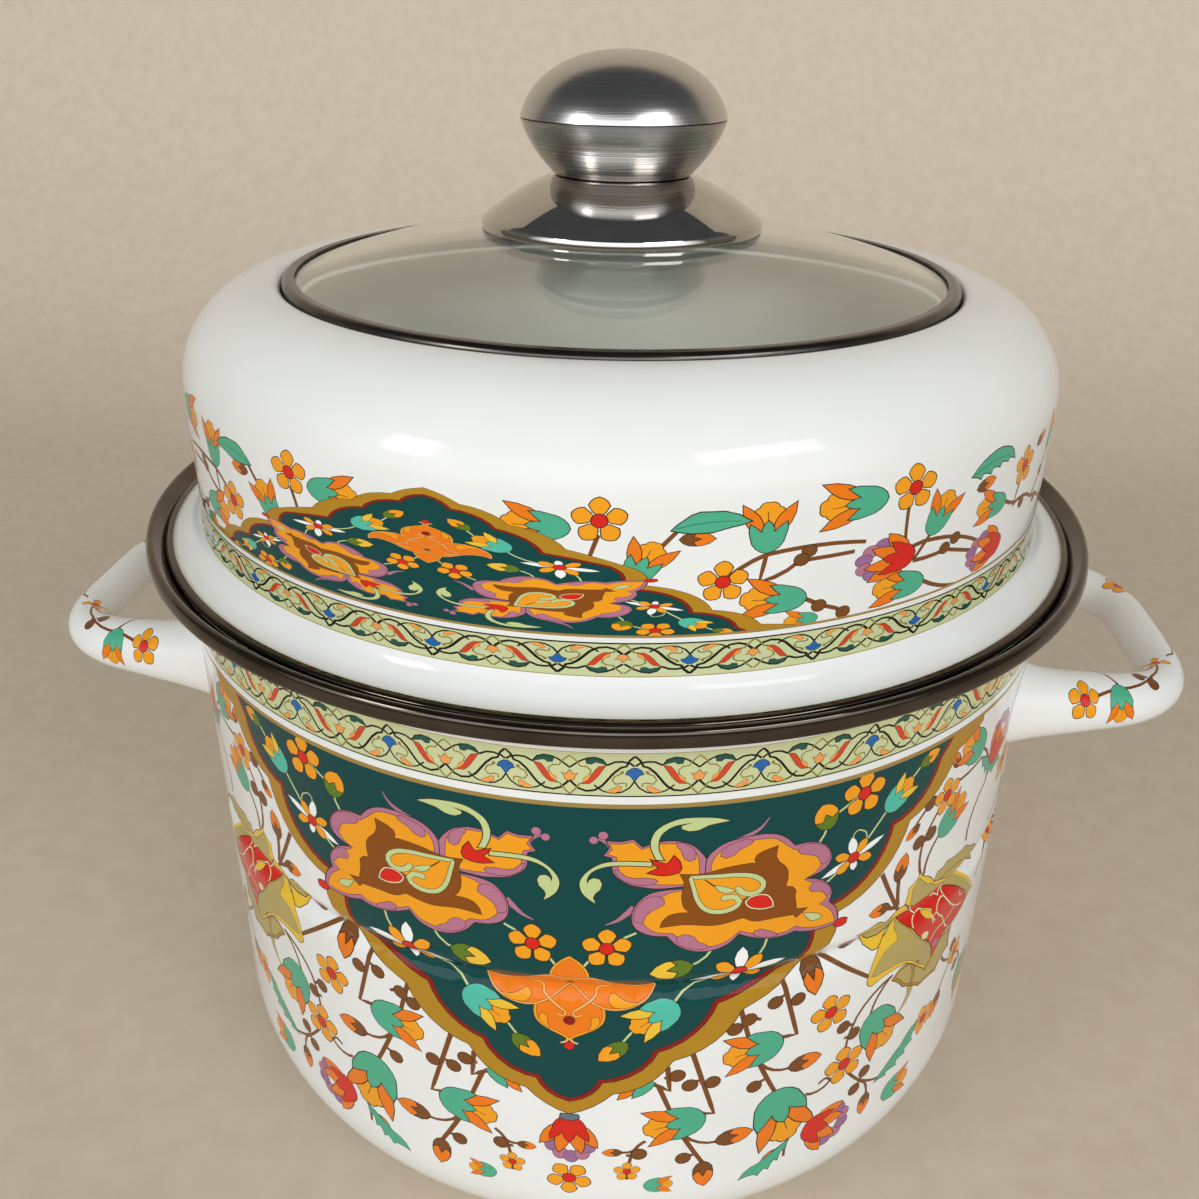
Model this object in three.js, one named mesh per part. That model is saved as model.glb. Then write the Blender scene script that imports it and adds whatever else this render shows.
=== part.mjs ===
// Enamelled steel stew pot with a tall lid. The pot is pressed from sheet, has two welded loop handles, a
// bead rolled into its wall and a flared mouth clad with stainless strip. The lid is an enamelled dome that
// sits in the mouth, with a tempered glass window clamped in its opening and a hollow steel knob screwed to
// the glass. Millimetres, +Z up. The base stands on z = 0, the handles lie along X and the front faces -Y.
import * as THREE from "three";

// Fits and sheet
const FIT = 0.3; // gap left between pieces that seat on each other
const SHEET = 1.2; // enamelled steel sheet, enamel included
const STRIP = 0.5; // stainless strip of the rings and of the window's frame
const SHELL = 0.8; // stainless sheet of the knob

// Pot
const POT_RADIUS = 125; // outside of the wall
const POT_HEIGHT = 188; // base to the crest of the rim
const BASE_CORNER = 33; // outside radius between base and wall
const BEAD_HEIGHT = 106; // base to the middle of the bead in the wall
const BEAD_REACH = 5.5; // half the height of the bead
const BEAD_DEPTH = 2.2; // how far the bead goes in
const MOUTH_FLARE = 10.3; // how far the rim ring stands out past the wall
const MOUTH_ANGLE = Math.PI / 4; // flare of the mouth from the vertical
const MOUTH_BEND = 10; // radius of the bend between wall and flare
const RIM_LEG = 6.2; // cover of the rim strip along the flare

// Handles
const HANDLE_DROP = 42; // crest of the rim to the middle of a handle's foot
const HANDLE_DEPTH = 39; // wall of the pot to the middle of the grip
const HANDLE_SPAN = 35; // half the span of a handle, where arm and grip would cross
const FOOT_SPAN = 45; // half the distance between the middles of a handle's feet
const HANDLE_CORNER = 22; // length of the rounded corner along arm and grip
const HANDLE_SAG = 1.5; // how much lower the grip is than the feet
const GRIP_RADIUS = 6.2; // tube radius at the grip
const FOOT_RADIUS = 10; // tube radius above the foot
const FOOT_FLARE = 1.4; // how much the tube spreads at the weld
const FOOT_BLEND = 16; // length over which the tube leaves the round of the wall

// Lid
const LID_SEAT = 4.9; // how far the lid's ring lies inside the rim ring
const LID_LEG = 1.4; // cover of the lid's strip along the flange
const LID_FLANGE = 10.9; // width of the flange, from the lid's ring to the dome's wall
const LID_FILLET = 8; // radius between flange and wall, on the outside
const DOME_HEIGHT = 66; // middle of the flange's sheet to the top of the dome
const SHOULDER_HEIGHT = 24; // height of the rounded shoulder
const OPENING_BEND = 1.8; // radius of the bend into the opening

// Window
const GLASS_RADIUS = 90.1; // edge of the glass
const GLASS = 4; // thickness of the glass
const GLASS_CURVE = 290; // radius of the dome that the glass is part of
const GLASS_HOLE = 4; // radius of the hole for the screw
const SEAL = 1.2; // thickness of the gasket under the glass
const SEAL_LIP = 0.7; // thickness of the gasket round the glass
const FRAME_COVER = 3.4; // width of the window's frame, seen from above
const FRAME_CREST = 1; // height of the frame over the dome
const LEDGE = 6; // width of the ledge that carries the window

// Knob
const CONE_RADIUS = 38.3; // foot of the cone on the glass
const CONE_TOP = 19.3; // radius of the cone at the knob's waist
const CONE_HEIGHT = 11.6; // foot of the cone to its top
const WAIST_RADIUS = 18.2; // bottom of the knob's lower shell
const KNOB_RADIUS = 27.3; // widest part of the knob
const CUP_HEIGHT = 13.6; // lower shell
const CAP_HEIGHT = 16.3; // upper shell
const GASKET = 0.8; // silicone ring under the cone
const GASKET_WIDTH = 4;
const WASHER = 1.2; // washers under the glass
const WASHER_RADIUS = 9;
const SCREW_RADIUS = 2.5;
const SCREW_CLEARANCE = 0.5; // holes in the knob over the screw
const SCREW_HEAD_RADIUS = 4.8;
const SCREW_HEAD = 3;
const NUT_RADIUS = 4.6; // across the corners
const NUT_HEIGHT = 4;

// Facets round the axis
const LARGE = 40;
const MEDIUM = 32;
const SMALL = 20;

const enamel = { color: 0xf1f1ec, roughness: 0.12, metalness: 0 };
const rimSteel = { color: 0x8d8a86, roughness: 0.18, metalness: 1 };
const knobSteel = { color: 0xa3a19d, roughness: 0.28, metalness: 1 };
const silicone = { color: 0xc9cdc4, roughness: 0.6, metalness: 0 };
const glass = { color: 0xb9c4b0, roughness: 0.03, metalness: 0, transparent: true, opacity: 0.4 };
const zinc = { color: 0xb4b2ad, roughness: 0.35, metalness: 1 };

const at = (r, z) => new THREE.Vector2(r, z);

// Points on an arc of a section about (r, z). Angles run anticlockwise from straight out, in turns of 2 pi.
function arc(r, z, radius, from, to, steps, height = radius) {
  const points = [];
  for (let i = 0; i <= steps; i++) {
    const angle = from + ((to - from) * i) / steps;
    points.push(at(r + radius * Math.cos(angle), z + height * Math.sin(angle)));
  }
  return points;
}

// One face of a bent sheet: its middle line moved sideways, mitred where it bends.
function offset(line, distance) {
  return line.map((point, i) => {
    const before = line[i - 1] ?? point;
    const after = line[i + 1] ?? point;
    const into = point.clone().sub(before);
    const out = after.clone().sub(point);
    const first = (into.lengthSq() > 0 ? into : out).normalize();
    const second = (out.lengthSq() > 0 ? out : into).normalize();
    const side = at(first.y + second.y, -first.x - second.x).normalize();
    const mitre = distance / (side.x * first.y - side.y * first.x);
    const moved = point.clone().addScaledVector(side, mitre);
    return point.x === 0 ? at(0, moved.y) : moved;
  });
}

// Closed section of a sheet of one thickness, from the line along its middle.
function sheetSection(line, thickness) {
  return [...offset(line, thickness / 2), ...offset(line, -thickness / 2).reverse()];
}

// Half the thickness of an enamelled edge with the strip folded over it.
const CLAD = SHEET / 2 + FIT + STRIP;

// Middle line of a strip folded over an enamelled edge. The edge points away from the axis at an angle.
function cladLine(edge, angle, leg) {
  const radius = CLAD - STRIP / 2;
  const along = at(Math.cos(angle), Math.sin(angle));
  const fold = arc(edge.x, edge.y, radius, angle - Math.PI / 2, angle + Math.PI / 2, 4);
  const legs = [fold[0], fold[fold.length - 1]].map((p) => p.clone().addScaledVector(along, -leg));
  return [legs[0], ...fold, legs[1]];
}

// Solid of revolution about Z from a closed anticlockwise section.
function turned(section, facets) {
  const last = section[section.length - 1];
  const open = section[0].x === 0 && last.x === 0;
  const closed = open ? section : [...section, section[0]];
  return new THREE.LatheGeometry(closed, facets).rotateX(Math.PI / 2);
}

// Flat ring with a hole.
function washer(radius, hole, thickness, facets) {
  return turned([at(hole, 0), at(radius, 0), at(radius, thickness), at(hole, thickness)], facets);
}

function part(name, geometry, finish) {
  const mesh = new THREE.Mesh(geometry, new THREE.MeshStandardMaterial(finish));
  mesh.name = name;
  return mesh;
}

// Mouth of the pot: the flare runs up to the lip, which the strip is folded over.
const MOUTH_RADIUS = POT_RADIUS + MOUTH_FLARE;
const LIP = at(MOUTH_RADIUS - CLAD, POT_HEIGHT - CLAD);

function potBody() {
  const wall = POT_RADIUS - SHEET / 2;
  const corner = BASE_CORNER - SHEET / 2;
  const bead = [];
  const beadSteps = 6;
  for (let i = 0; i <= beadSteps; i++) {
    const across = -1 + (2 * i) / beadSteps;
    const depth = (BEAD_DEPTH * (1 + Math.cos(Math.PI * across))) / 2;
    bead.push(at(wall - depth, BEAD_HEIGHT + BEAD_REACH * across));
  }
  const crossing = LIP.y - (LIP.x - wall) / Math.tan(MOUTH_ANGLE);
  const bendStart = crossing - MOUTH_BEND * Math.tan(MOUTH_ANGLE / 2);
  const bend = arc(wall + MOUTH_BEND, bendStart, MOUTH_BEND, Math.PI, Math.PI - MOUTH_ANGLE, 3);
  const line = [
    at(0, SHEET / 2),
    ...arc(wall - corner, SHEET / 2 + corner, corner, -Math.PI / 2, 0, 5),
    ...bead,
    ...bend,
    LIP,
  ];
  return turned(sheetSection(line, SHEET), LARGE);
}

function potRimRing() {
  const line = cladLine(LIP, Math.PI / 2 - MOUTH_ANGLE, RIM_LEG);
  return turned(sheetSection(line, STRIP), LARGE);
}

// Loop handle on the +X side: a tapering tube, open at its feet, which are cut to the round of the wall.
const HANDLE_REACH = POT_RADIUS + HANDLE_DEPTH;

function loopHandle() {
  const steps = 24;
  const sides = 10;
  const seat = POT_RADIUS + FIT;
  const foot = at(Math.sqrt(seat * seat - FOOT_SPAN * FOOT_SPAN), FOOT_SPAN);
  const crossing = at(HANDLE_REACH, HANDLE_SPAN);
  const armEnd = crossing.clone().add(foot.clone().sub(crossing).setLength(HANDLE_CORNER));
  const gripEnd = at(HANDLE_REACH, HANDLE_SPAN - HANDLE_CORNER);
  const path = new THREE.Path();
  path.moveTo(foot.x, -foot.y);
  path.lineTo(armEnd.x, -armEnd.y);
  path.quadraticCurveTo(crossing.x, -crossing.y, gripEnd.x, -gripEnd.y);
  path.lineTo(gripEnd.x, gripEnd.y);
  path.quadraticCurveTo(crossing.x, crossing.y, armEnd.x, armEnd.y);
  path.lineTo(foot.x, foot.y);
  const length = path.getLength();

  const positions = [];
  for (const inset of [0, SHEET]) {
    for (let i = 0; i <= steps; i++) {
      const place = (1 - Math.cos((Math.PI * i) / steps)) / 2;
      const middle = path.getPointAt(place);
      const way = path.getTangentAt(place);
      const near = (HANDLE_REACH - middle.x) / (HANDLE_REACH - foot.x);
      const spread = GRIP_RADIUS + (FOOT_RADIUS - GRIP_RADIUS) * near + FOOT_FLARE * near ** 8;
      const height = POT_HEIGHT - HANDLE_DROP - HANDLE_SAG * (1 - near);
      const fromFoot = Math.min(place, 1 - place) * length;
      const freed = Math.min(1, fromFoot / FOOT_BLEND);
      for (let k = 0; k < sides; k++) {
        const turn = (2 * Math.PI * k) / sides;
        const sideways = (spread - inset) * Math.cos(turn);
        const y = middle.y - sideways * way.x;
        const round = Math.sqrt(seat * seat - y * y) + fromFoot;
        const square = middle.x + sideways * way.y;
        const x = round + (square - round) * freed;
        positions.push(x, y, height + (spread - inset) * Math.sin(turn));
      }
    }
  }
  const faces = [];
  const inner = (steps + 1) * sides;
  const quad = (a, b, c, d) => faces.push(a, c, b, a, d, c);
  for (let k = 0; k < sides; k++) {
    const next = (k + 1) % sides;
    for (let i = 0; i < steps; i++) {
      const here = i * sides;
      const ahead = here + sides;
      quad(here + k, here + next, ahead + next, ahead + k);
      quad(inner + here + next, inner + here + k, inner + ahead + k, inner + ahead + next);
    }
    const end = steps * sides;
    quad(next, k, inner + k, inner + next);
    quad(end + k, end + next, inner + end + next, inner + end + k);
  }
  const geometry = new THREE.BufferGeometry();
  geometry.setAttribute("position", new THREE.Float32BufferAttribute(positions, 3));
  geometry.setIndex(faces);
  geometry.computeVertexNormals();
  return geometry;
}

// Lid. Its own heights are counted from the middle of the flange's sheet. The lid's ring rests on the inner
// side of the rim ring, so its height in the pot follows from both rings and the flare.
const LID_RADIUS = MOUTH_RADIUS - LID_SEAT;
const LID_EDGE = at(LID_RADIUS - CLAD, 0);
const LID_HEIGHT =
  LIP.y + (2 * CLAD + FIT) / Math.sin(MOUTH_ANGLE) - (LIP.x - LID_EDGE.x) / Math.tan(MOUTH_ANGLE);

// Window. Its frame fills the recess of the dome's opening, and the stack of frame, glass and seal sets the
// height of the ledge.
const SEAL_RADIUS = GLASS_RADIUS + FIT + SEAL_LIP;
const FRAME_RADIUS = SEAL_RADIUS + FIT + STRIP;
const RECESS_RADIUS = FRAME_RADIUS + FIT;
const LEDGE_RADIUS = RECESS_RADIUS - LEDGE;
const FRAME_TOP = DOME_HEIGHT + FRAME_CREST;
const fall = (r) => GLASS_CURVE - Math.sqrt(GLASS_CURVE * GLASS_CURVE - r * r);
const GLASS_TOP = FRAME_TOP - STRIP - FIT + fall(FRAME_RADIUS - FRAME_COVER);
const glassTop = (r) => GLASS_TOP - fall(r);
const SEAL_BOTTOM = glassTop(GLASS_RADIUS) - GLASS - FIT - SEAL;
const LEDGE_TOP = SEAL_BOTTOM - FIT;

function lidDome() {
  const wall = LID_RADIUS - LID_FLANGE - SHEET / 2;
  const fillet = LID_FILLET + SHEET / 2;
  const collar = RECESS_RADIUS + SHEET / 2;
  const turn = collar + OPENING_BEND;
  const top = DOME_HEIGHT - SHEET / 2;
  const shoulder = DOME_HEIGHT - SHOULDER_HEIGHT;
  const line = [
    LID_EDGE,
    ...arc(wall + fillet, fillet, fillet, -Math.PI / 2, -Math.PI, 3),
    ...arc(turn, shoulder, wall - turn, 0, Math.PI / 2, 7, SHOULDER_HEIGHT - SHEET / 2),
    ...arc(turn, top - OPENING_BEND, OPENING_BEND, Math.PI / 2, Math.PI, 2).slice(1),
    at(collar, LEDGE_TOP - SHEET / 2),
    at(LEDGE_RADIUS, LEDGE_TOP - SHEET / 2),
  ];
  return turned(sheetSection(line, SHEET), LARGE);
}

function lidRimRing() {
  return turned(sheetSection(cladLine(LID_EDGE, 0, LID_LEG), STRIP), LARGE);
}

function glassSeal() {
  const inside = LEDGE_RADIUS + FIT;
  const under = (r) => glassTop(r) - GLASS - FIT;
  const lip = GLASS_RADIUS + FIT;
  const section = [
    at(inside, SEAL_BOTTOM),
    at(SEAL_RADIUS, SEAL_BOTTOM),
    at(SEAL_RADIUS, glassTop(GLASS_RADIUS)),
    at(lip, glassTop(GLASS_RADIUS)),
    at(lip, under(lip)),
    at(inside, under(inside)),
  ];
  return turned(section, LARGE);
}

function glassPanel() {
  const face = [];
  const steps = 5;
  for (let i = 0; i <= steps; i++) {
    const r = GLASS_HOLE + ((GLASS_RADIUS - GLASS_HOLE) * i) / steps;
    face.push(at(r, glassTop(r)));
  }
  const under = face.map((p) => at(p.x, p.y - GLASS));
  return turned([...under, ...face.reverse()], LARGE);
}

function glassRimRing() {
  const inside = FRAME_RADIUS - FRAME_COVER;
  const middle = STRIP / 2;
  const line = [
    at(FRAME_RADIUS - middle, LEDGE_TOP + FIT),
    at(FRAME_RADIUS - middle, FRAME_TOP - 2 * STRIP),
    at(FRAME_RADIUS - 2 * STRIP, FRAME_TOP - middle),
    at(inside, FRAME_TOP - middle),
  ];
  return turned(sheetSection(line, STRIP), LARGE);
}

// Knob. Its own heights are counted from the top of the glass on the axis.
const SCREW_HOLE = SCREW_RADIUS + SCREW_CLEARANCE;
const GASKET_BOTTOM = FIT - fall(CONE_RADIUS - GASKET_WIDTH);
const CONE_FOOT = GASKET_BOTTOM + GASKET + FIT;
const CUP_FOOT = CONE_FOOT + CONE_HEIGHT + FIT;
const CAP_FOOT = CUP_FOOT + CUP_HEIGHT + FIT;
const NUT_FOOT = CUP_FOOT + SHELL + FIT;
const WASHER_TOP = -GLASS - FIT - fall(WASHER_RADIUS);
const SCREW_WASHER_TOP = WASHER_TOP - WASHER - FIT;
const HEAD_TOP = SCREW_WASHER_TOP - WASHER - FIT;

function knobBase() {
  const foot = at(CONE_RADIUS - SHELL / 2, CONE_FOOT + SHELL / 2);
  const top = at(CONE_TOP, CONE_FOOT + CONE_HEIGHT - SHELL / 2);
  const belly = at((foot.x + top.x) / 2 - 0.6, (foot.y + top.y) / 2 - 0.9);
  const cone = new THREE.QuadraticBezierCurve(foot, belly, top).getPoints(4);
  return turned(sheetSection([...cone, at(SCREW_HOLE, top.y)], SHELL), MEDIUM);
}

function knobCup() {
  const floor = CUP_FOOT + SHELL / 2;
  const rim = at(KNOB_RADIUS - SHELL / 2, CUP_FOOT + CUP_HEIGHT);
  const swell = at(KNOB_RADIUS - SHELL / 2, CUP_FOOT + CUP_HEIGHT / 2);
  const side = new THREE.QuadraticBezierCurve(at(WAIST_RADIUS, floor), swell, rim).getPoints(4);
  return turned(sheetSection([at(SCREW_HOLE, floor), ...side], SHELL), MEDIUM);
}

function knobCap() {
  const wide = KNOB_RADIUS - SHELL / 2;
  const line = arc(0, CAP_FOOT, wide, 0, Math.PI / 2, 6, CAP_HEIGHT - SHELL / 2);
  line[line.length - 1].x = 0;
  return turned(sheetSection(line, SHELL), MEDIUM);
}

function knobScrew() {
  const end = NUT_FOOT + NUT_HEIGHT + FIT;
  const section = [
    at(0, HEAD_TOP - SCREW_HEAD),
    at(SCREW_HEAD_RADIUS * 0.7, HEAD_TOP - SCREW_HEAD),
    at(SCREW_HEAD_RADIUS, HEAD_TOP - SCREW_HEAD * 0.5),
    at(SCREW_HEAD_RADIUS, HEAD_TOP),
    at(SCREW_RADIUS, HEAD_TOP),
    at(SCREW_RADIUS, end),
    at(0, end),
  ];
  return turned(section, SMALL);
}

function knobNut() {
  const section = new THREE.Shape();
  for (let k = 0; k < 6; k++) {
    const turn = (Math.PI * k) / 3;
    const corner = at(NUT_RADIUS * Math.cos(turn), NUT_RADIUS * Math.sin(turn));
    if (k === 0) section.moveTo(corner.x, corner.y);
    else section.lineTo(corner.x, corner.y);
  }
  const thread = new THREE.Path().absarc(0, 0, SCREW_RADIUS + FIT, 0, 2 * Math.PI, true);
  section.holes.push(thread);
  return new THREE.ExtrudeGeometry(section, { depth: NUT_HEIGHT, bevelEnabled: false, curveSegments: 8 });
}

const rightHandle = part("right_handle", loopHandle(), enamel);
const leftHandle = part("left_handle", loopHandle(), enamel);
leftHandle.rotation.z = Math.PI;

const pot = new THREE.Group();
pot.add(part("pot_body", potBody(), enamel), part("pot_rim_ring", potRimRing(), rimSteel));
pot.add(leftHandle, rightHandle);

const knob = new THREE.Group();
knob.position.z = GLASS_TOP;
const gasketHole = CONE_RADIUS - GASKET_WIDTH;
const baseGasket = part("base_gasket", washer(CONE_RADIUS, gasketHole, GASKET, MEDIUM), silicone);
baseGasket.position.z = GASKET_BOTTOM;
const glassWasher = part("glass_washer", washer(WASHER_RADIUS, SCREW_HOLE, WASHER, SMALL), silicone);
glassWasher.position.z = WASHER_TOP - WASHER;
const screwWasher = part("screw_washer", washer(WASHER_RADIUS, SCREW_HOLE, WASHER, SMALL), zinc);
screwWasher.position.z = SCREW_WASHER_TOP - WASHER;
const nut = part("knob_nut", knobNut(), zinc);
nut.position.z = NUT_FOOT;
knob.add(part("knob_base", knobBase(), knobSteel), part("knob_cup", knobCup(), knobSteel));
knob.add(part("knob_cap", knobCap(), knobSteel), part("knob_screw", knobScrew(), zinc));
knob.add(baseGasket, glassWasher, screwWasher, nut);

const lid = new THREE.Group();
lid.position.z = LID_HEIGHT;
lid.add(part("lid_dome", lidDome(), enamel), part("lid_rim_ring", lidRimRing(), rimSteel));
lid.add(part("glass_seal", glassSeal(), silicone), part("glass_panel", glassPanel(), glass));
lid.add(part("glass_rim_ring", glassRimRing(), rimSteel), knob);

const stewPot = new THREE.Group();
stewPot.add(pot, lid);

export default stewPot;
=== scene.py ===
import cmath
import math

import bpy
import numpy as np
from mathutils import Matrix, Vector
from mathutils.geometry import delaunay_2d_cdt


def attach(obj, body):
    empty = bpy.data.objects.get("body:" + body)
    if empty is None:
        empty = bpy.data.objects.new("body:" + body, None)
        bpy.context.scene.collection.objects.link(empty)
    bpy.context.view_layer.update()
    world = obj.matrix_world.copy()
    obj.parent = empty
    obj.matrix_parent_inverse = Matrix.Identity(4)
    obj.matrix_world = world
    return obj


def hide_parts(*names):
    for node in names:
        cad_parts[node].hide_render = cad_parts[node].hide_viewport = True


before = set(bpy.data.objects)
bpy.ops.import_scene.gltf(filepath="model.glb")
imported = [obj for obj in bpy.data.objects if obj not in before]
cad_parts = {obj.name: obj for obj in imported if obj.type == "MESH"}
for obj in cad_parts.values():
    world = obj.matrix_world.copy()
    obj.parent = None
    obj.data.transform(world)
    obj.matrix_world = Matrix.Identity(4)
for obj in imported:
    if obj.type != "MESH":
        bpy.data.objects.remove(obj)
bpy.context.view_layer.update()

# Pot body. Drawn from steel sheet, with a bead rolled into its wall and a flared mouth, then dipped in
# white enamel and fired. The ornament is a printed transfer fired into the glaze, so it has no height.
MM = 0.001
SHEET = 1.2
POT_RADIUS = 125
FLAT_BASE = 60
BASE_CORNER = 33
BEAD_HEIGHT = 106
BEAD_REACH = 5.5
BEAD_DEPTH = 2.2
LIP = complex(133.9, 186.6)
MOUTH_BEND = 10
COLUMNS = 180
CORNER_STEPS, BEAD_STEPS, MOUTH_STEPS = 18, 20, 8

WHITE_ENAMEL = "#eeeeea"
INKS = {
    "enamel": WHITE_ENAMEL,
    "line": "#2f2013",
    "ground": "#004443",
    "gold": "#b4851f",
    "gold line": "#a3864a",
    "dark red": "#8c1a18",
    "amber": "#f4a01d",
    "orange": "#ef7b17",
    "yellow": "#eec23a",
    "red": "#d92418",
    "mauve": "#b8748c",
    "plum": "#9c6b93",
    "brown": "#8a4b0f",
    "stem": "#7b4a22",
    "pale green": "#c4d190",
    "leaf green": "#4fae8a",
    "deep green": "#2f7f68",
    "bud green": "#5f7b22",
    "white": "#f6f6f4",
    "cream": "#f3dcae",
    "pool green": "#52bda6",
    "khaki": "#b9a660",
    "band": "#ccd19f",
    "band green": "#27584a",
    "band blue": "#2c66aa",
    "band red": "#d4492b",
    "band orange": "#efa252",
    "band line": "#262019",
    "slate": "#66737e",
    "olive": "#8a7f3c",
    "peach": "#f5b062",
}
INK_NAMES = list(INKS)


def linear(hex_colour):
    """Scene-linear red, green, blue and alpha of a colour written as on a screen."""
    parts = [int(hex_colour[i : i + 2], 16) / 255 for i in (1, 3, 5)]
    return [c / 12.92 if c <= 0.04045 else ((c + 0.055) / 1.055) ** 2.4 for c in parts] + [1.0]


def arc(centre, radius, start, end, steps=16, height=None):
    """Points on a round stretch of a section (distance from the axis, height), angles in degrees."""
    angles = np.radians(np.linspace(start, end, steps + 1))
    tall = radius if height is None else height
    return centre + radius * np.cos(angles) + 1j * tall * np.sin(angles)


def sheet_faces(line, thickness):
    """Section of a bent sheet from the line along its middle: out along one face, back along the other."""
    line = np.asarray(line)
    steps = np.diff(line) / abs(np.diff(line))
    way = np.concatenate([steps[:1], steps[:-1] + steps[1:], steps[-1:]])
    side = -1j * way / abs(way)
    return np.concatenate([line + side * thickness / 2, (line - side * thickness / 2)[::-1]])


def wound_round(section, radius, level):
    """Place of flat artwork on a turned surface. It runs round at this radius, and up along the section,
    where it starts counting so that heights on the straight wall come out as written."""
    run = np.concatenate([[0], np.cumsum(abs(np.diff(section)))])
    shift = run[level] - section[level].imag

    def place(u, v):
        r = np.interp(v + shift, run, section.real)
        z = np.interp(v + shift, run, section.imag)
        return np.stack([r * np.sin(u / radius), -r * np.cos(u / radius), z], axis=1)

    return place, run - shift


LONGEST_STEP = 4.0
ARC_ERROR = 0.12
WIDEST_TURN = math.radians(32)


def arc_between(p, q, bulge):
    """Points from p up to q, on an arc whose height over half its chord is the bulge."""
    if not bulge:
        steps = max(1, math.ceil(abs(q - p) / LONGEST_STEP))
        return [p + (q - p) * k / steps for k in range(steps)]
    sweep = 4 * math.atan(bulge)
    centre = (p + q) / 2 + 1j * (q - p) / 2 / math.tan(sweep / 2)
    radius = abs(p - centre)
    turn = min(2 * math.acos(max(0.5, 1 - ARC_ERROR / radius)), LONGEST_STEP / radius, WIDEST_TURN)
    steps = max(2, math.ceil(abs(sweep) / turn))
    return [centre + (p - centre) * cmath.exp(1j * sweep * k / steps) for k in range(steps)]


def bowed(corners, closed):
    """Line through corners (x, y, bulge of the stretch to the next). Bulges go outwards round an
    anticlockwise shape."""
    stops = [complex(c[0], c[1]) for c in corners]
    bulges = [c[2] if len(c) > 2 else 0 for c in corners]
    after = stops[1:] + (stops[:1] if closed else [])
    points = [w for p, q, b in zip(stops, after, bulges) for w in arc_between(p, q, b)]
    return np.array(points if closed else points + stops[-1:])


def outline(*corners):
    return bowed(corners, True)


FLOW_STEP = 1.35


def flow(stops, closed):
    """Smooth line through stops (x, y). A third entry makes the stop a corner."""
    points = [complex(s[0], s[1]) for s in stops]
    sharp = [len(s) > 2 or not closed and i in (0, len(stops) - 1) for i, s in enumerate(stops)]
    count = len(points)
    path = []
    for i in range(count if closed else count - 1):
        j = (i + 1) % count
        p, q = points[i], points[j]
        leave = q - (p if sharp[i] else points[i - 1])
        arrive = (q if sharp[j] else points[(j + 1) % count]) - p
        span = abs(q - p)
        leave, arrive = leave * span / abs(leave), arrive * span / abs(arrive)
        steps = max(1, round(span / FLOW_STEP))
        for t in np.arange(steps) / steps:
            ends = p * (1 + 2 * t) * (1 - t) ** 2 + q * t**2 * (3 - 2 * t)
            path.append(ends + leave * t * (1 - t) ** 2 - arrive * t**2 * (1 - t))
    return np.array(path if closed else path + points[-1:])


def flowing(*stops):
    return flow(stops, True)


def disc(radius, middle=0):
    return outline((-radius, 0, 1), (radius, 0, 1)) + middle


def lens(length, width, start=0):
    """Leaf shape along x."""
    return outline((start, 0, width / length), (start + length, 0, width / length))


LEAST_SPREAD = 0.75


def grown(shape, by):
    """The shape with its edge moved outwards, its sharpest corners less far."""
    step = np.roll(shape, -1) - shape
    step = step / np.maximum(abs(step), 1e-9)
    around = np.sum(shape.real * np.roll(shape.imag, -1) - np.roll(shape.real, -1) * shape.imag)
    out = -1j * step * (1 if around > 0 else -1)
    both = np.roll(out, 1) + out
    length = np.maximum(abs(both), LEAST_SPREAD)
    return shape + by * 2 * both / length**2


def stroke(corners, start, end, ink):
    """Line of a width that runs from start to end."""
    path = corners if isinstance(corners, np.ndarray) else bowed(corners, False)
    way = np.gradient(path)
    run = np.concatenate([[0], np.cumsum(abs(np.diff(path)))])
    side = 1j * way / abs(way) * (start + (end - start) * run / run[-1]) / 2
    return [(np.concatenate([path - side, (path + side)[::-1]]), ink)]


LINE = 0.26


def inked(shape, ink, line=LINE):
    """A shape filled with ink and edged with a fine dark line."""
    return [(grown(shape, line), "line"), (shape, ink)]


def placed(motif, x, y, turn=0, size=1.0, flip=False, squash=1.0):
    """A motif turned, sized, perhaps mirrored about its own axis, flattened and set down."""
    spin = size * cmath.exp(1j * math.radians(turn))
    shapes = []
    for shape, ink in motif:
        spun = (shape.conj() if flip else shape) * spin
        shapes.append((spun.real + 1j * squash * spun.imag + complex(x, y), ink))
    return shapes


def scattered(motif, spots, **how):
    """The same motif set down at each spot: its x, y, turn and perhaps size."""
    return [shape for spot in spots for shape in placed(motif, *spot, **how)]


def mirrored(motif):
    """The motif and its mirror image about an upright axis."""
    return motif + [(-shape.conj(), ink) for shape, ink in motif]


def moved(motif, along):
    return [(shape + along, ink) for shape, ink in motif]


# Flowers of the transfer. Each grows along x from its stem, in millimetres.
def petal(length, width, start=0.0):
    """Petal along x with a rounded end."""
    half = width / 2
    return outline(
        (start, 0, 0.14),
        (start + 0.6 * length, -half, 0.3),
        (start + length, 0, 0.3),
        (start + 0.6 * length, half, 0.14),
    )


def turned_by(shape, degrees):
    return shape * cmath.exp(1j * math.radians(degrees))


def blossom():
    petals = 5
    shapes = []
    for k in range(petals):
        shapes += inked(turned_by(petal(5.0, 4.3, 1.0), 90 + 360 * k / petals), "amber")
    return shapes + inked(disc(1.7), "red")


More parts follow.
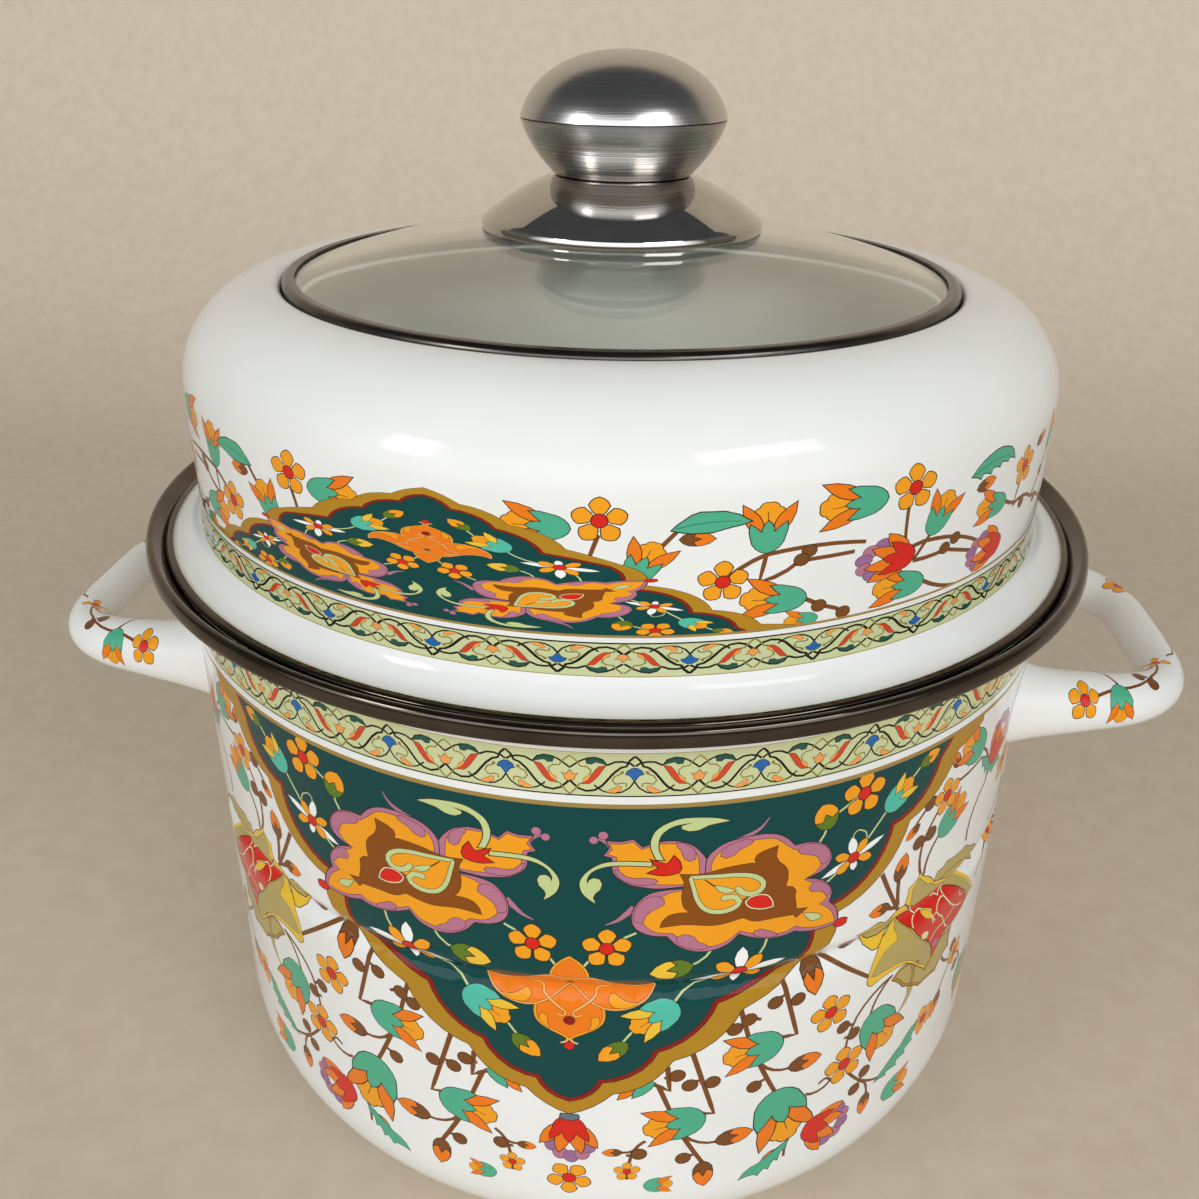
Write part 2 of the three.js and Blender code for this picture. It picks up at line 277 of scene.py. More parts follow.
def tulip(calyx="leaf green", side="orange", middle="amber", girth=1.0):
    ruffle = outline(
        (5, -2.6, 0.12), (12.4, -3.5, 0.45), (14.2, -2.1, 0.5), (15.6, 0.2, 0.5), (14.2, 2.3, 0.45),
        (12.4, 3.4, 0.12), (5, 2.6),
    )
    flank = outline((4.6, 1.6, 0.22), (11.6, 2.4, 0.1), (15.2, 6.2, 0.24))
    cup = outline(
        (0, 0, 0.36), (5.2, -5.2, 0.2), (9.4, -5.4, 0.05), (6.4, -1.7, 0.28), (10.0, 0.2, 0.28),
        (6.4, 1.9, 0.05), (9.2, 5.4, 0.2), (5.0, 5.2, 0.36),
    )
    cup = cup.real + 1j * girth * cup.imag
    shapes = inked(ruffle, middle) + inked(flank, side) + inked(flank.conj(), side)
    shapes += stroke([(9.8, 0.3, 0.05), (13, 0.5)], 0.18, 0.18, "line")
    return shapes + inked(cup, calyx)


def half_tulip():
    cup = outline((0, 0, 0.4), (7.5, -4.4, 0.1), (5, -1.4, 0.2), (8, 1.2, 0.25))
    return inked(outline((3.5, -2.2, 0.35), (11.5, -0.6, 0.35)), "orange") + inked(cup, "leaf green")


def bud(body="orange", cap="stem", width=5.4):
    half = width / 2
    shell = outline(
        (0, 0, 0.34),
        (4.7, -half, 0),
        (3.6, -0.42 * half, 0),
        (5.9, 0, 0),
        (3.6, 0.42 * half, 0),
        (4.7, half, 0.34),
    )
    return inked(lens(10.2, width * 1.02), body) + inked(shell, cap)


def berry():
    """Round berry on a short bent stalk, which points along x."""
    return stroke([(0, 0, -0.2), (3.6, 0.4)], 1.5, 1.0, "stem") + inked(disc(2.1), "stem")


def red_flower():
    shapes = []
    for middle, ink in (
        (10.6 - 5j, "plum"), (13.2 - 2.6j, "mauve"), (14.2 + 0.6j, "plum"), (13 + 3.8j, "mauve"),
        (10.4 + 5.6j, "plum"),
    ):
        shapes += inked(disc(2.2, middle), ink, 0.16)
    for turn in (38, -40, 16, -14):
        shapes += inked(turned_by(lens(11, 4.2, 2.4), turn), "orange")
    cup = outline(
        (0, 0, 0.45), (4.4, -4.8, 0.2), (8.4, -5.6, 0.05), (5.6, -1.9, 0.2), (9, 0, 0.2),
        (5.6, 1.9, 0.05), (8.4, 5.6, 0.2), (4.4, 4.8, 0.45),
    )
    return shapes + inked(cup, "red")


def saw_leaf():
    """Leaf with a toothed lower edge and a curled tip."""
    shape = outline(
        (0, 0, -0.1), (3.4, -2.2), (3.7, -1.2, -0.12), (7.2, -3.4), (7.6, -2.0, -0.12), (11, -3.4),
        (11.3, -1.9, -0.12), (14.4, -2.4), (14.6, -1.0, -0.15), (18.4, 1.8, 0.28), (11, 1.6, 0.1),
        (5, 1.0, 0.05),
    )
    return inked(shape, "leaf green") + stroke([(0.5, 0.1, -0.1), (14.4, 0.4)], 0.3, 0.15, "deep green")


def star_flower():
    shapes = []
    for turn, reach, wide in ((8, 12, 2.3), (88, 8.2, 3.4), (188, 12, 2.3), (262, 5, 2.6)):
        shapes += inked(turned_by(lens(reach - 1, wide, 1), turn), "white", 0.12)
    for turn in (40, 148, 205, 330):
        shapes += inked(turned_by(petal(6.2, 3.2, 1.0), turn), "amber")
    return shapes + inked(disc(1.9), "red")


def palmette():
    """Large split palmette, set down where it stands on the right of the medallion."""
    shapes = []
    for line in (
        [(35, 150.3), (40, 152.3), (43.5, 154.3), (45.3, 156.9)],
        [(15, 134), (12.8, 131.8), (11, 130.1), (8.4, 128.8)],
        [(10, 150.6), (8.6, 152.8), (7, 153.7), (5, 153.4)],
    ):
        shapes += stroke(flow(line, False), 1.9, 0.2, "mauve")
    for x, y, radius in ((7.5, 154.8, 1.1), (5.4, 153.4, 1.0)):
        shapes += inked(disc(radius, complex(x, y)), "mauve", 0.12)
    upper = flowing(
        (31.1, 147, 1), (29.5, 149.5), (27, 151.8), (23.5, 153), (19.5, 152.9, 1), (16.3, 151.5, 1),
        (14.2, 153.8, 1), (11.5, 153.1), (8.3, 153.3, 1), (9, 151.5), (7.7, 149.2, 1), (9.6, 148.6, 1),
        (9.7, 146.6), (9.9, 144.4), (11.5, 142.4), (14, 140.8), (17, 140.1), (20, 139.6), (25, 139.8),
        (31, 140.2, 1),
    )
    shapes += inked(upper, "mauve")
    upper_field = flowing(
        (29.5, 143, 1), (29.2, 147), (28.4, 149.4), (26.4, 151.4), (23.4, 152.2), (19.6, 152.3, 1),
        (16.2, 150.9, 1), (14.1, 153.1, 1), (11.5, 152.4), (9, 152.6, 1), (9.7, 151), (8.6, 149.6, 1),
        (10.6, 148.9, 1), (10.9, 146.6), (11.2, 145), (12.8, 143.4), (15, 142), (19, 141), (25.4, 140.5),
        (29.5, 140.8, 1),
    )
    shapes += inked(upper_field, "amber", 0.14)
    for lobe in (
        [(24, 152.5), (25.1, 150.2), (25.9, 147.9), (27.2, 147), (28.5, 147.6), (28.4, 149.4),
         (27, 151.3)],
        [(10.2, 145.2), (11.2, 144.8), (12.8, 143.2), (14.6, 142.7), (17.5, 142.7), (19.4, 142.4),
         (20, 141.7), (19, 140.9), (15, 140.9), (12, 142.2)],
    ):
        shapes += inked(flowing(*lobe), "mauve", 0.14)
    lower = flowing(
        (31.1, 147, 1), (32, 148.7), (34.5, 150.8), (37.5, 151.8), (43.5, 152.3), (47.5, 151.5),
        (50.4, 149.6), (52.5, 147.1, 1), (55.5, 147.2), (59.5, 145.9), (62, 143.5), (62.9, 140.5),
        (61.5, 138), (56.4, 136.3, 1), (60.5, 134.7), (63.2, 132.3), (64.3, 129.8), (63.8, 126.8, 1),
        (66, 124.3), (67, 121), (67.2, 119, 1), (61, 119), (56.5, 120), (55, 120.7, 1), (52, 120.1),
        (48, 120.3), (43.5, 121.8), (40.2, 123.5, 1), (38, 121), (34, 119.5), (29.5, 119.8), (25.5, 122),
        (22.9, 125.1, 1), (19, 125.6), (15.5, 127.7), (14.4, 131), (15.2, 134.5), (18, 137.8),
        (22, 138.9), (26, 139, 1), (31, 140.6, 1),
    )
    shapes += inked(lower, "mauve")
    lower_field = flowing(
        (32.3, 141.6, 1), (32.6, 146.5), (34.8, 149.4), (39, 150.6), (44, 150.9), (47.5, 150.2),
        (50, 148), (52.6, 145.8, 1), (56, 145), (59, 142.8), (60.3, 140.3), (59, 137.8), (55.9, 136.2, 1),
        (59.5, 133.6), (62.5, 131), (63, 128.6), (61.2, 127, 1), (64.4, 124.2), (65.8, 121.5),
        (66.3, 119.8, 1), (61.5, 119.9), (57.5, 120.9), (55.2, 122.2, 1), (52.5, 121.2), (49, 121.4),
        (44, 122.8), (40.4, 124.4, 1), (37.5, 121.8), (34, 120.8), (30, 121.4), (26.5, 123.6),
        (24.2, 125.9, 1), (20.5, 126.4), (17.8, 128.3), (16.9, 130.6), (18, 133.6), (20.5, 136.5),
        (23.5, 138.2), (28, 138.6, 1),
    )
    shapes += inked(lower_field, "amber", 0.14)
    for lobe in (
        [(41.8, 150.9), (38.8, 148.9), (37.4, 147.5), (35.6, 146.9), (34.3, 147.7), (34.6, 149.4),
         (37.5, 151)],
        [(54.4, 146.6), (53.4, 145.2), (54.5, 144.2), (57.5, 143.1), (59.4, 141.6), (60.2, 139.6),
         (62, 139.8), (62.3, 142.5), (60, 145.2), (57, 146.5)],
        [(58.6, 134.6), (57.7, 133.2), (58.2, 131.9), (59.8, 131.4), (61.8, 130.7), (63, 129), (64, 130),
         (62.8, 132.4), (60.6, 134.1)],
        [(21.6, 136.4), (21.8, 134.8), (19.6, 133.4), (17.6, 131.6), (16.9, 129.4), (15, 130),
         (15.2, 133.5), (17.2, 136.4), (19.6, 137.4)],
        [(33, 120.6), (30.4, 122.4), (29.2, 124.2), (27, 125.2), (25.3, 124.6), (25.2, 123.2),
         (27, 121.4), (30, 120.3)],
        [(50.4, 120.6), (47.8, 122.6), (45.8, 123.7), (44.2, 123.4), (44.2, 122.2), (46, 121.2),
         (48, 120.7)],
    ):
        shapes += inked(flowing(*lobe), "mauve", 0.14)
    ground = flowing(
        (25.1, 143.4, 1), (30, 143), (36, 144.1), (42, 144.4), (43.2, 144, 1), (42.6, 145.3), (43, 146.5),
        (44.5, 147.3), (48.1, 148.2, 1), (47.9, 145), (48.8, 143.3), (50.3, 141.8), (51.3, 140),
        (51.5, 137.5), (51.1, 135.5, 1), (53, 134.8), (54, 133.5), (54, 131.5), (54.8, 127.5, 1),
        (57.8, 127, 1), (55, 124.8, 1), (54.2, 126, 1), (49, 126.4), (44, 126.6), (41, 128.3, 1),
        (34.5, 127.2), (27, 128.3), (21.1, 127.9, 1), (21.5, 129.5), (23, 131.3), (25.5, 131.9),
        (28, 131.8, 1), (26.5, 133.5), (25.8, 137), (26.2, 141),
    )
    shapes += inked(ground, "brown", 0.14)
    heart = flowing(
        (27.4, 142.5, 1), (34, 142.3), (39, 142), (43.2, 140.8), (45.9, 138.2), (45.1, 135.6),
        (42.4, 134.8), (40.4, 134, 1), (39.6, 132), (37, 130.7), (34, 130.6), (31.2, 132), (29.3, 134.8),
        (28.2, 138.5),
    )
    shapes += inked(heart, "amber", 0.14)
    for scroll in (
        [(27.6, 142.3), (34, 141.9), (39, 141.5), (43, 140.3), (45.3, 138), (44.7, 135.8), (42.2, 135.2),
         (40.2, 136.1), (39.2, 137.2)],
        [(27.6, 142.2), (28.6, 138.5), (29.7, 135), (31.8, 132.2), (35, 131.1), (38.2, 131.6),
         (39.8, 133.4), (38.6, 135), (36, 135.2)],
    ):
        path = flow(scroll, False)
        shapes += stroke(path, 1.2, 1.8, "line") + inked(disc(0.85, path[-1]), "pale green", 0.15)
        shapes += stroke(path, 0.9, 1.5, "pale green")
    shapes += stroke([(31, 141.2, 0.03), (34.6, 138)], 0.3, 0.4, "line")
    tongue = flowing((33.4, 139.2, 1), (36, 138.4), (38.6, 136.9, 1), (36, 136.6), (34.6, 137.4))
    shapes += inked(tongue, "pale green", 0.14)
    almond = flowing(
        (41.1, 133.2), (42.2, 134.3), (44.6, 134.7), (46.8, 134), (48.2, 132), (48.7, 130, 1),
        (46.5, 129.7), (44, 130.2), (42, 131.3),
    )
    shapes += inked(almond, "cream", 0.14) + inked(grown(almond, -0.45), "red", 0.12)
    tip = flowing(
        (56.8, 125.6, 1), (59.5, 124.8), (61.5, 123.8), (62.3, 122.7), (61, 122.2), (59, 122.7),
        (58, 123.9),
    )
    shapes += inked(tip, "pale green", 0.16)
    shapes += inked(flowing((66.2, 118.8), (68, 120), (70.2, 119.2), (70, 117.8), (67.8, 117.5)), "red")
    up_curl = flowing(
        (19.5, 148, 1), (18.3, 151), (18.1, 153), (19, 155.8), (20.8, 157.5), (23.5, 158.8), (26, 159.2),
        (30, 159), (33, 158.5), (35.9, 157.5, 1), (31, 156.8), (29, 155.8), (26.5, 155.6), (25, 156.3),
        (24.8, 157.1, 1), (27.3, 157.9, 1), (23.2, 157.2), (20.8, 155.5), (19.9, 153.3), (20, 150.5),
        (21.2, 147.8, 1),
    )
    side_curl = flowing(
        (18.5, 147.2, 1), (15, 147.5), (10.5, 147.5), (7.5, 146.9), (4.5, 144.8), (2.8, 142.5),
        (2.3, 140.5), (3, 138), (4.5, 136.3), (6, 135.2, 1), (5.4, 136.8), (5.8, 138), (7, 139.3),
        (7.4, 141), (6.8, 142.3), (5.5, 142.6), (4.5, 142), (4.1, 140.8, 1), (3.9, 142), (5, 144.3),
        (7.5, 145.8), (10.5, 146.4), (14.5, 146.4), (18.5, 146.1, 1),
    )
    shapes += inked(up_curl, "pale green") + inked(side_curl, "pale green")
    sepals = flowing(
        (25.3, 145.2), (24.9, 147), (23.5, 148.8, 1), (22.6, 147.2), (21.9, 146.5, 1), (18.3, 148, 1),
        (19.2, 146.5), (20.3, 145.6, 1), (17.8, 144.2, 1), (20.5, 143.5), (23, 143.5), (24.8, 144),
    )
    return shapes + inked(sepals, "red")


def both_sides(*half):
    """Smooth closed line from its stops on one side of an upright axis."""
    return flowing(*half, *[(-x, *rest) for x, *rest in half[::-1] if x])


def heart_lotus():
    """Lotus on the axis of the medallion."""
    leaf = both_sides((0, 118.6, 1), (-1.8, 117.3), (-3.4, 115.6), (-4.5, 113.6), (-5, 111, 1))
    body = both_sides(
        (0, 89.8, 1), (1.4, 91), (3.5, 92.2), (6, 93.7), (7.9, 95.5), (8.7, 97.6), (8.7, 100.3),
        (8, 103, 1), (0, 109, 1),
    )
    shapes = []
    for shape in (leaf, body):
        shapes += inked(shape, "amber", 0.14) + inked(grown(shape, -0.7), "orange", 0.1)
    wing = flowing(
        (0, 107.2, 1), (0, 110.6, 1), (1.4, 111.4), (3.5, 112), (5.6, 112), (8.1, 111.1), (10.6, 109.4),
        (13.1, 108.1), (16, 107.5), (18.5, 107.7), (20.8, 108.9, 1), (20.9, 106.6), (19.3, 103.8),
        (16.8, 102), (14.3, 101), (11.4, 100.5), (8.9, 100.8), (6.8, 101.6), (4.75, 102.8), (2.7, 104.6),
    )
    drop = flowing(
        (9.5, 103.4), (10, 104.7), (11, 104.9), (12.3, 103.9), (14.3, 102.8), (17, 102.7, 1),
        (15.2, 101.6), (12.7, 101.2), (10.6, 101.6),
    )
    spur = flowing(
        (5.4, 97), (5.6, 97.8), (6.6, 98.2), (7.3, 97.8), (7.5, 96.2), (6.6, 94.9), (4.8, 93.2, 1),
        (5.4, 95.3),
    )
    loop = [
        (5.4, 109.4), (8.6, 109.5), (10.2, 108.4), (9.3, 107.3), (7.2, 106.8), (6.5, 106), (6.4, 104.4),
        (5.2, 103), (3, 101.3), (1.1, 99.6),
    ]
    hook = [(1.1, 99.8), (0.9, 98.6), (1.7, 98), (2.9, 98.5)]
    right = inked(wing, "peach", 0.14) + inked(grown(wing, -0.5), "orange", 0.1)
    right += inked(drop, "amber", 0.12) + inked(spur, "amber", 0.12)
    for line in (loop, hook):
        path = flow(line, False)
        right += stroke(path, 0.8, 0.9, "brown") + stroke(path, 0.5, 0.6, "peach")
    right += stroke([(0.3, 90.2, 0.3), (2.2, 88.8)], 0.6, 0.5, "peach")
    shapes += mirrored(right)
    shapes += inked(disc(1.4, 96.6j), "dark red", 0.14)
    shapes += inked(flowing((-1.3, 108.8), (0, 109.9), (1.3, 108.8), (0, 107.6)), "brown", 0.05)
    return shapes + inked(disc(1.25, 87.9j), "red", 0.14)


def lobed(*right):
    """Closed shape with two like sides from its lobes on the right, up from the axis."""
    left = [(-x, y, right[i - 1][2]) for i, (x, y, _) in enumerate(right) if x][::-1]
    return outline(*right, *left)


def medallion():
    """Lobed ground with its flowers, hanging from the line under the band."""
    edge = lobed(
        (0, 63.4, 0.14), (11, 71.4, 0.26), (26, 82.6, 0.26), (43, 97.2, 0.05), (60.6, 108.2, 0.36),
        (66.9, 122.6, 0.3), (87, 142.8, 0.26), (102.8, 157, 0.06), (113.5, 160.6, 0), (113.5, 174, 0),
    )
    field = lobed(
        (0, 69.4, 0.28), (7.4, 76.6, 0.32), (21.2, 87, 0.28), (35.4, 101.8, 0.05), (55.4, 109.4, 0.25),
        (59.4, 119.2, 0), (63.9, 126.4, 0.36), (80.1, 144.9, 0.36), (94.3, 158.1, 0), (98, 162.4, 0),
        (98, 174, 0),
    )
    shapes = inked(edge, "gold")
    for by, ink in ((1.5, "line"), (1.3, "dark red"), (0.2, "line")):
        shapes.append((grown(field, by), ink))
    shapes.append((field, "ground"))
    half = []
    for line in (
        [(15.6, 126.4, 0.1), (9, 121.6)], [(6, 119.4, 0), (3, 115)], [(34, 120, -0.25), (28, 115)],
        [(48, 121.4, -0.2), (43, 112)], [(60.6, 150.4, -0.2), (57.6, 145)], [(70, 157.4, 0), (62, 153)],
        [(78, 149, 0), (70, 138.6)], [(66, 136, 0), (61.6, 132.6)], [(25.4, 102.2, -0.2), (37.6, 109.4)],
        [(15.4, 93.2, 0), (12.4, 88.6)], [(85, 155.6, 0), (89, 159.4)],
    ):
        half += stroke(line, 0.6, 0.6, "pale green")
    half += stroke([(72.4, 142.4, 0.5), (71, 146, 0.7), (68.6, 145), (69.4, 143)], 0.4, 0.3, "pale green")
    half += placed(bud("yellow", "bud green"), 29.6, 115.2, 190, 1.04)
    half += placed(bud("amber", "bud green", 8), 61.6, 149.6, 112, 0.78)
    half += placed(bud("amber", "bud green"), 87.6, 158.4, 20, 0.7)
    half += placed(bud("amber", "bud green"), 14.4, 89.6, 222, 0.94)
    half += placed(tulip("pool green", "yellow", "amber"), 26.6, 101.6, 214, 0.88)
    half += placed(tulip("pool green", "yellow", "amber"), 77.8, 149, 42, 0.66)
    half += placed(blossom(), 8.8, 121.4, 0, 1.0) + placed(blossom(), 70.2, 157, 0, 1.02)
    half += placed(star_flower(), 41.4, 110.8, 0, 1.0) + placed(star_flower(), 69.6, 138.4, 14, 0.8)
    return shapes + mirrored(half + palmette()) + heart_lotus()


def side_lotus():
    """Large khaki lotus with a red heart, where it stands on the wall."""
    stalk = [(100.4, 79.4, -0.2), (99.6, 74.4, -0.2), (94.8, 70)]
    shapes = stroke(stalk, 3.2, 0.3, "line") + stroke(stalk, 2.8, 0.1, "khaki")
    far = outline(
        (103, 114.4, -0.2), (104, 117.8, 0.3), (108, 118.9, 0.08), (119, 117.8, 0.1), (126, 114, 0.05),
        (133, 107.6, 0.1), (131, 104.4, -0.1), (123, 110, -0.1), (111, 110.6, 0.05),
    )
    shapes += inked(far, "khaki")
    shapes += stroke([(106, 114.2, -0.1), (118, 113.6, -0.12), (131, 105.8)], 1.1, 0.6, "gold")
    right = outline(
        (112, 110.4, -0.05), (120, 106, -0.05), (130, 97, 0), (133, 93, 0.2), (129, 92, 0.05),
        (121, 101, 0.05), (113, 106),
    )
    shapes += inked(right, "khaki")
    shapes += stroke([(117, 108.6, -0.04), (126, 101.2, -0.02), (132, 94)], 1.3, 0.8, "yellow")
    low = outline(
        (91, 86.5, -0.1), (94, 88.9, -0.1), (98.4, 88.6, -0.15), (107.4, 81, 0), (112.6, 88, 0),
        (120, 88, 0.2), (120.4, 80, 0.3), (114, 75.2, 0.1), (105, 75.8, 0.06), (96.6, 80.8, 0.1),
    )
    shapes += inked(low, "gold") + inked(grown(low, -0.9), "khaki", 0.14)
    vein = [(99.4, 88, -0.2), (100.4, 79)]
    shapes += stroke(vein, 1.6, 1.0, "line") + stroke(vein, 1.2, 0.6, "gold")
    big = outline(
        (90.5, 107.4, 0.04), (87, 104.4, 0.3), (83, 101, 0.06), (81, 92.4, 0.5), (83.2, 89.2, -0.06),
        (88, 90.4, -0.08), (96.4, 89.6, -0.1), (102.4, 84.6, -0.06), (106, 81.4, 0.1),
        (109.6, 83.6, -0.1), (107.4, 89, 0.04), (99.4, 97.4, 0.04), (93, 105.2, 0),
    )
    shapes += inked(big, "yellow")
    inner = outline(
        (90.6, 106.6, 0), (90.2, 104.2, -0.2), (90.5, 100.8, 0.1), (86, 99.4, 0.1), (82.2, 92.8, 0),
        (83.6, 92.1, -0.04), (92.6, 91.8, -0.08), (97.6, 89.8, -0.1), (103, 85, -0.06),
        (106.4, 82.4, 0.1), (108.8, 84, -0.1), (106.8, 89, 0.04), (99, 97.2, 0.04), (92.6, 104.8, 0),
    )
    shapes += inked(inner, "khaki", 0.14)
    shapes += stroke([(101, 86.6, -0.5), (102.6, 86.2, -0.5), (101.8, 84.8)], 0.5, 0.2, "line")
    beak = outline((77.4, 107.8, 0.14), (81.2, 102.3, 0.35), (84.4, 103.2, -0.1), (90.4, 107.4, 0))
    shapes += inked(beak, "yellow")
    brow = outline(
        (74.6, 111.2, -0.06), (80.4, 105.9, 0.2), (90.4, 107.4, -0.1), (93.6, 111, 0.3), (88, 113.4, 0.2),
        (84.6, 110.4, 0.1), (82, 112.5, 0.1), (78, 111.6),
    )
    shapes += inked(brow, "khaki")
    cheek = outline(
        (85.4, 110.6, 0.1), (89.4, 111.2, -0.3), (95.6, 107.6, 0.05), (91, 113.6, 0.15),
        (87.6, 113.2, 0.15),
    )
    shapes += inked(cheek, "yellow")
    shapes += stroke([(79.6, 110.8, -0.2), (84.6, 110.6, 0.05)], 0.9, 0.5, "yellow")
    hood = outline(
        (96.8, 108, 0.15), (91, 114, 0.12), (91.6, 118.8, 0.25), (95.6, 122, 0.2), (97.8, 119.6, -0.16),
        (103, 114.8, -0.08), (113.6, 110.2, 0.2), (108, 108.8, 0),
    )
    shapes += inked(hood, "yellow")
    hood_field = outline(
        (97.4, 108.4, -0.05), (93.4, 113, 0.1), (93.2, 117.4, 0.1), (95.2, 120.4, 0), (99.6, 116, -0.16),
        (104, 113.2, -0.08), (112.6, 110, 0.2), (108, 109),
    )
    shapes += inked(hood_field, "khaki", 0.14)
    heart = outline(
        (91, 107.8, 0.06), (97, 101.2, 0.04), (103.2, 93.8, 0), (107.2, 90.4, -0.1), (109.4, 83.8, 0.3),
        (113, 88.4, -0.1), (120, 89, 0.1), (128.4, 91.6, 0.15), (124, 98, 0), (119.4, 102, 0.1),
        (112.4, 105.8, 0.1), (104, 108.8, 0.05), (96, 108.6, 0.04),
    )
    shapes += inked(heart, "red", 0.3)
    for line in (
        [(96.6, 107.6, 0.1), (99, 104.8, 0.5), (97, 101.4, 0)],
        [(99.4, 105, -0.4), (102, 104.4, -0.1), (105.4, 102.6, 0.4), (105.6, 100, -0.3), (108, 100.6)],
        [(106.4, 106.2, -0.3), (110, 104.6, -0.4), (112.2, 106.2, 0.3), (112.6, 103.2, 0.5),
         (107.6, 101)],
        [(108, 100.4, 0.1), (111.8, 96.6, 0.1), (113.8, 93.4, -0.2), (117, 94.2, -0.2), (120, 95.4)],
        [(112.4, 103, 0.06), (116, 98.4, 0.06), (120.2, 95)],
        [(107, 90.8, -0.3), (110.4, 93.4, -0.1), (113.8, 93.2, 0.2), (116.4, 90)],
        [(120.4, 95, 0.2), (124.4, 93.4)], [(121.4, 99.6, 0.5), (123.6, 97)],
    ):
        shapes += stroke(line, 0.75, 0.75, "line") + stroke(line, 0.5, 0.5, "cream")
    shapes += inked(outline((101.6, 96.2, 0.4), (104.4, 93.4, 0.5), (105, 95.4, 0.4)), "cream", 0.1)
    shapes += inked(outline((108.6, 88.2, 0.3), (111.6, 86.6, 0.4), (111.4, 89.4, 0.3)), "mauve", 0.1)
    shapes += inked(turned_by(lens(6.4, 2.4), -40) + complex(101, 104.4), "yellow", 0.14)
    for turn in (-52, -66):
        tip = 105.2 + 101j + turned_by(4.4, turn)
        shapes += stroke([(105.2, 101), (tip.real, tip.imag)], 0.5, 0.3, "cream")
    return shapes


def stems(lines, thick=1.0):
    """Brown stems, each a little thinner towards its end."""
    return [shape for line in lines for shape in stroke(line, 1.45 * thick, 1.25 * thick, "stem")]


